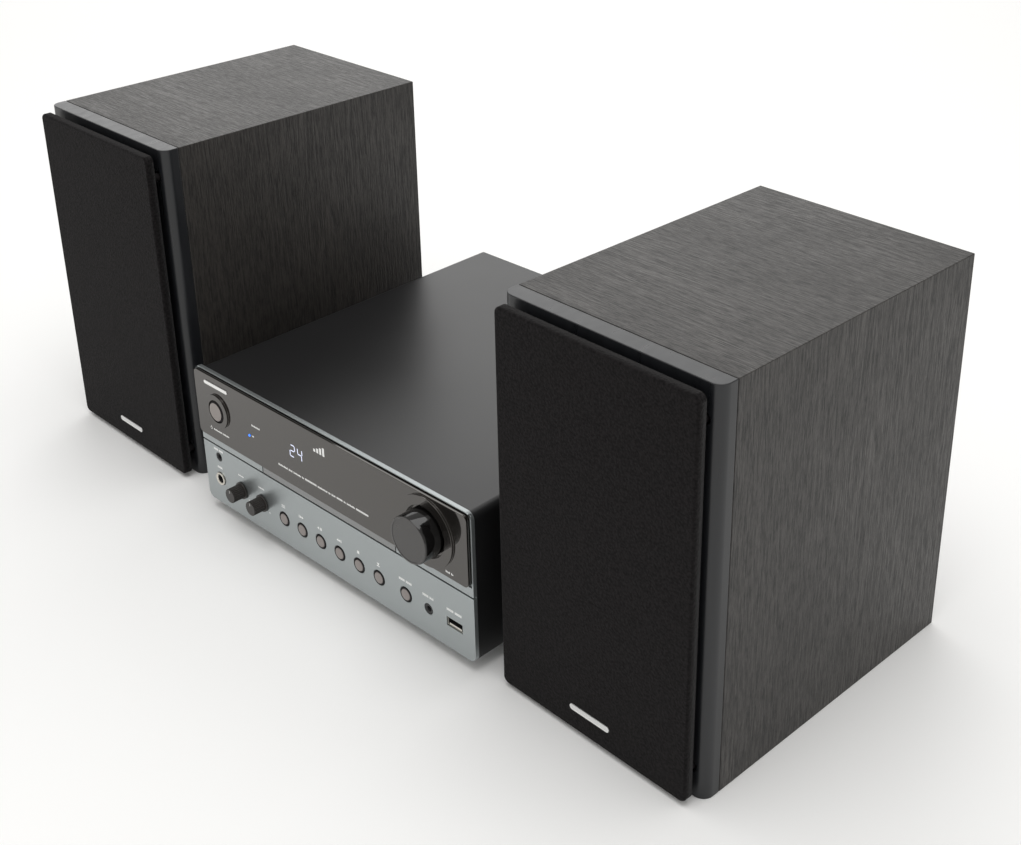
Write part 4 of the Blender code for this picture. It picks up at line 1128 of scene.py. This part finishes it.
def grille_cloth(name, centre, yaw):
    """Fine plain weave: warp and weft threads pass over each other, with a little slub in the yarn."""
    weave = Finish(name, roughness=0.95, specular_ior_level=0.12, sheen_weight=0.06, sheen_roughness=0.4)
    across = weave.place(centre=centre, turn=yaw)
    pitch = 0.00075
    x = weave.node("SeparateXYZ", {}, {"Vector": across}, output="X")
    z = weave.node("SeparateXYZ", {}, {"Vector": across}, output="Z")
    warp = weave.node("Math", {"operation": "SINE"}, {0: x * (math.tau / pitch)})
    weft = weave.node("Math", {"operation": "SINE"}, {0: z * (math.tau / pitch)})
    crossing = warp * weft * 0.5 + 0.5
    slub = weave.noise(640, detail=3.0, centre=centre, turn=yaw)
    thread = crossing * 0.35 + weave.between(slub, 0.32, 0.68) * 0.65
    return weave.surface(
        base_color=weave.mix(thread, (0.0010, 0.0009, 0.0010), (0.0165, 0.0145, 0.0150)),
        normal=weave.bump(thread, 0.00022),
    )


for side in ("left", "right"):
    travel = next(joint for joint in frame["joints"] if joint["name"] == f"{side}_cone_travel")
    yaw = math.atan2(travel["axis"][0], -travel["axis"][1])
    rightward = Vector((math.cos(yaw), math.sin(yaw), 0))
    backward = Vector((-math.sin(yaw), math.cos(yaw), 0))
    baffle_verts = [vert.co for vert in frame["nodes"][f"{side}_baffle"].data.vertices]
    reach_x = [vert.dot(rightward) for vert in baffle_verts]
    reach_y = [vert.dot(backward) for vert in baffle_verts]
    origin = rightward * (min(reach_x) + max(reach_x)) / 2 + backward * min(reach_y)
    speaker_frame = Matrix.Translation(origin) @ Matrix.Rotation(yaw, 4, "Z")
    half, depth, height = (max(reach_x) - min(reach_x)) / 2, 0.217, 0.250
    speaker, cone_body, grille_body = f"{side}_speaker", f"{side}_cone", f"{side}_grille"

    def stand(piece, place=speaker_frame):
        """Put a piece that was made in the speaker's own axes where the speaker stands."""
        take_in_hand(piece)
        piece.matrix_world = place @ piece.matrix_world
        return settle(piece.name)

    # Cabinet: four wrapped walls, with the back panel let in behind
    wall, board_front = 0.010, 0.0123
    cabinet = add_block(f"{side}_box", (-half, board_front, 0), (half, depth, height))
    inside = add_block("inside", (wall - half, 0, wall), (half - wall, depth + clear, height - wall))
    combine(cabinet, [inside])
    soften(cabinet, 0.0005, 3)
    stand(cabinet)
    fit(cabinet, black_ash(f"{side}_ash_upright", origin, yaw, "Z"), speaker, "black_ash", f"{side}_cabinet")
    coat(cabinet, black_ash(f"{side}_ash_level", origin, yaw, "X"), lambda face: abs(face.normal.z) > 0.6)

    panel_edge, cup_low, cup_high = 0.0103, 0.0457, 0.0943
    back_panel = add_block(
        f"{side}_back_board",
        (panel_edge - half, 0.204, panel_edge),
        (half - panel_edge, 0.214, height - panel_edge),
    )
    combine(back_panel, [add_block("opening", (-0.0243, 0.19, cup_low), (0.0243, 0.23, cup_high))])
    soften(back_panel, 0.0004)
    stand(back_panel)
    fit(back_panel, raw_board, speaker, "black_ash", f"{side}_back_panel")

    # Baffle: rounded down its front edges, bored for the drivers and the grille's pegs
    woofer_z, tweeter_z = 0.092, 0.195
    peg_places = [(x, z) for x in (-0.0645, 0.0645) for z in (0.020, 0.230)]
    baffle = add_block(f"{side}_front_board", (-half, 0, 0), (half, 0.012, height))
    bevel(baffle, lambda edge: runs_along("Z")(edge) and edge.verts[0].co.y < 0.006, 0.007, 10)
    combine(baffle, [
        add_rod("bore", (0, -clear, woofer_z), (0, clear * 3, woofer_z), 0.049, 96),
        add_rod("bore", (0, -clear, tweeter_z), (0, clear * 3, tweeter_z), 0.021, 96),
        *[add_rod("bore", (x, -clear, z), (x, 0.0075, z), 0.0040, 32) for x, z in peg_places],
    ])
    soften(baffle, 0.0005, 3)
    stand(baffle)
    fit(baffle, baffle_film, speaker, "black_ash", f"{side}_baffle")

    # Woofer: pressed frame and magnet, paper cone with a dust cap, rolled rubber surround
    woofer = (0, 0, woofer_z)
    basket = [(0, 0.030), (0.012, 0.030), (0.012, 0.044), (0.0155, 0.044), (0.0155, 0.032), (0.030, 0.032)]
    basket += [(0.0459, 0.004), (0.0459, -0.0016), (0.0470, -0.0026), (0.0485, -0.0028), (0.0580, -0.0028)]
    basket += [(0.0588, -0.0024), (0.059, -0.0016), (0.059, -0.0003), (0.0485, -0.0003), (0.0485, 0.006)]
    basket += [(0.033, 0.036), (0.036, 0.036), (0.036, 0.060), (0, 0.060)]
    woofer_frame = turned(f"{side}_woofer_basket", basket, woofer, 96)
    fit(stand(woofer_frame), basket_steel, speaker, "plated_steel", f"{side}_woofer_frame")
    cone = [*arc((0, 0.0300), 0.0190, 270, 318, 8), (0.0150, 0.0172)]
    cone += [(0.0200 + 0.0176 * step / 6, 0.0132 - 0.0144 * (step / 6) ** 1.15) for step in range(7)]
    cone += [(0.0376, 0), (0.014, 0.020), (0.014, 0.034), (0.013, 0.034), (0.013, 0.0182), (0, 0.0182)]
    cone_piece = turned(f"{side}_paper_cone", cone, woofer, 96)
    fit(stand(cone_piece), paper, cone_body, "paper_cone", f"{side}_woofer_cone")
    roll_centre = (0.0418, -0.0008)
    roll = [*arc(roll_centre, 0.0037, 180, 360, 12), *arc(roll_centre, 0.0030, 360, 180, 12)]
    surround = turned(f"{side}_rubber_surround", [*roll, roll[0]], woofer, 96)
    fit(stand(surround), rubber, speaker, "surround_rubber", f"{side}_woofer_surround")

    # Tweeter: a shallow horn plate round a soft dome
    plate = [(0.0095, 0.0012), (0.0100, -0.0004), (0.0112, -0.0006), (0.0135, 0.0006), (0.0180, -0.0006)]
    plate += [(0.0240, -0.0021), (0.0250, -0.0023), (0.0302, -0.0023), (0.0308, -0.0019), (0.031, -0.0012)]
    plate += [(0.031, -0.0003), (0.0205, -0.0003), (0.0205, 0.025), (0.0095, 0.025), (0.0095, 0.0012)]
    tweeter = turned(f"{side}_tweeter_plate", plate, (0, 0, tweeter_z), 96)
    fit(stand(tweeter), black_plastic, speaker, "moulding", f"{side}_tweeter")
    dome_outline = [*arc((0, 0.0131), 0.0163, 270, 306, 10), (0.0092, 0.0010), (0, 0.0010)]
    dome = turned(f"{side}_tweeter_dome", dome_outline, (0, 0, tweeter_z))
    fit(stand(dome), rubber, speaker, "surround_rubber")

    # Screws of the drivers: radius of their ring, its front and its height, and their angles
    screw_places = [
        Vector((ring * math.cos(math.radians(angle)), front, middle + ring * math.sin(math.radians(angle))))
        for ring, front, middle, angles in (
            (0.0535, -0.0028, woofer_z, (45, 135, 225, 315)), (0.0275, -0.0023, tweeter_z, (90, 210, 330)),
        )
        for angle in angles
    ]
    driver_screws = add_screws(f"{side}_driver_screws", screw_places, 0.0026, Matrix())
    fit(stand(driver_screws), black_zinc, speaker, "plated_steel")

    # Terminal cup in the back: a moulded well with two binding posts, and its screws
    cup = add_block(f"{side}_cup", (-0.030, 0.2143, 0.040), (0.030, 0.2165, 0.100))
    round_corners(cup, "Y", 0.003, 6)
    cup_body = add_block("body", (-0.024, 0.194, 0.046), (0.024, 0.216, 0.094))
    combine(cup, [cup_body], "UNION")
    well = add_block("well", (-0.022, 0.196, 0.048), (0.022, 0.230, 0.092))
    round_corners(well, "Y", 0.004, 6)
    combine(cup, [well])
    soften(cup, 0.0004)
    fit(stand(cup), black_plastic, speaker, "moulding", f"{side}_terminal_cup")
    for x, finish, word in ((-0.010, red_plastic, "red"), (0.010, black_plastic, "black")):
        post = [(0, 0.0005), (0.0022, 0.0005), (0.0022, -0.0006), (0.0028, -0.0010), (0.0042, -0.0010)]
        post += [(0.0046, -0.0004), (0.0046, 0.0060), (0.0042, 0.0066), (0.0024, 0.0068), (0.0024, 0.0098)]
        post += [(0.0046, 0.0100), (0.0046, 0.0120), (0.0018, 0.0120), (0, 0.0120)]
        binding = turned(f"{side}_{word}_post", [(r, -y) for r, y in post], (x, 0.2078, 0.070), 48)
        fit(stand(binding), finish, speaker, "moulding")
    cup_places = [Vector((x, 0.2165, z)) for x in (-0.0265, 0.0265) for z in (0.0435, 0.0965)]
    cup_screws = add_screws(f"{side}_cup_screws", cup_places, 0.0022, facing_back)
    fit(stand(cup_screws), black_zinc, speaker, "moulding")

    # Grille: a pegged board with a window over the drivers, and cloth pulled over it and turned in behind
    grille_half, grille_low, grille_high = 0.0702, 0.0028, 0.2468
    grille_front, grille_back = -0.0106, -0.0048
    cloth_gap = 0.0008
    board = add_block(
        f"{side}_grille_board",
        (cloth_gap - grille_half, grille_front + cloth_gap, grille_low + cloth_gap),
        (grille_half - cloth_gap, grille_back, grille_high - cloth_gap),
    )
    round_corners(board, "Y", 0.0034, 6)
    bevel(board, lambda edge: max(vert.co.y for vert in edge.verts) < -0.009, 0.0012, 3)
    windows = [
        round_corners(add_block("window", (-0.0595, -0.02, low), (0.0595, 0.02, high)), "Y", 0.006, 6)
        for low, high in ((0.0135, 0.1535), (0.1615, 0.2365))
    ]
    combine(board, windows)
    pegs = [add_rod("peg", (x, grille_back - 0.001, z), (x, 0.006, z), 0.0026, 32) for x, z in peg_places]
    combine(board, pegs, "UNION")
    soften(board, 0.0005)
    fit(stand(board), ring_plastic, grille_body, "grille_cloth", f"{side}_grille")

    cloth = add_block(
        f"{side}_grille_cloth",
        (-grille_half, grille_front, grille_low),
        (grille_half, grille_back, grille_high),
    )
    round_corners(cloth, "Y", 0.0040, 8)
    bevel(cloth, lambda edge: max(vert.co.y for vert in edge.verts) < -0.010, 0.0015, 5)
    cloth_back, turned_in, strip_area = grille_back - 0.0001, 0.006, 0.02

    def at_the_back(face):
        return face.calc_center_median().y > cloth_back

    work(cloth, "faces", at_the_back, bpy.ops.mesh.inset, thickness=turned_in)
    work(
        cloth, "faces", lambda face: at_the_back(face) and face.calc_area() > strip_area,
        bpy.ops.mesh.delete, type="FACE",
    )
    take_in_hand(cloth)
    bpy.ops.object.shade_smooth()
    use_modifier(cloth, "SOLIDIFY", thickness=0.0006, offset=-1)
    use_modifier(cloth, "WEIGHTED_NORMAL")
    stand(cloth)
    fit(cloth, grille_cloth(f"{side}_weave", origin, yaw), grille_body, "grille_cloth")

    badge = add_badge(f"{side}_grille_badge", (0.0005, grille_front - 0.0006, 0.0185), 0.0150, 0.0019, 0.0007)
    fit(stand(badge), badge_silver, grille_body, "grille_cloth")
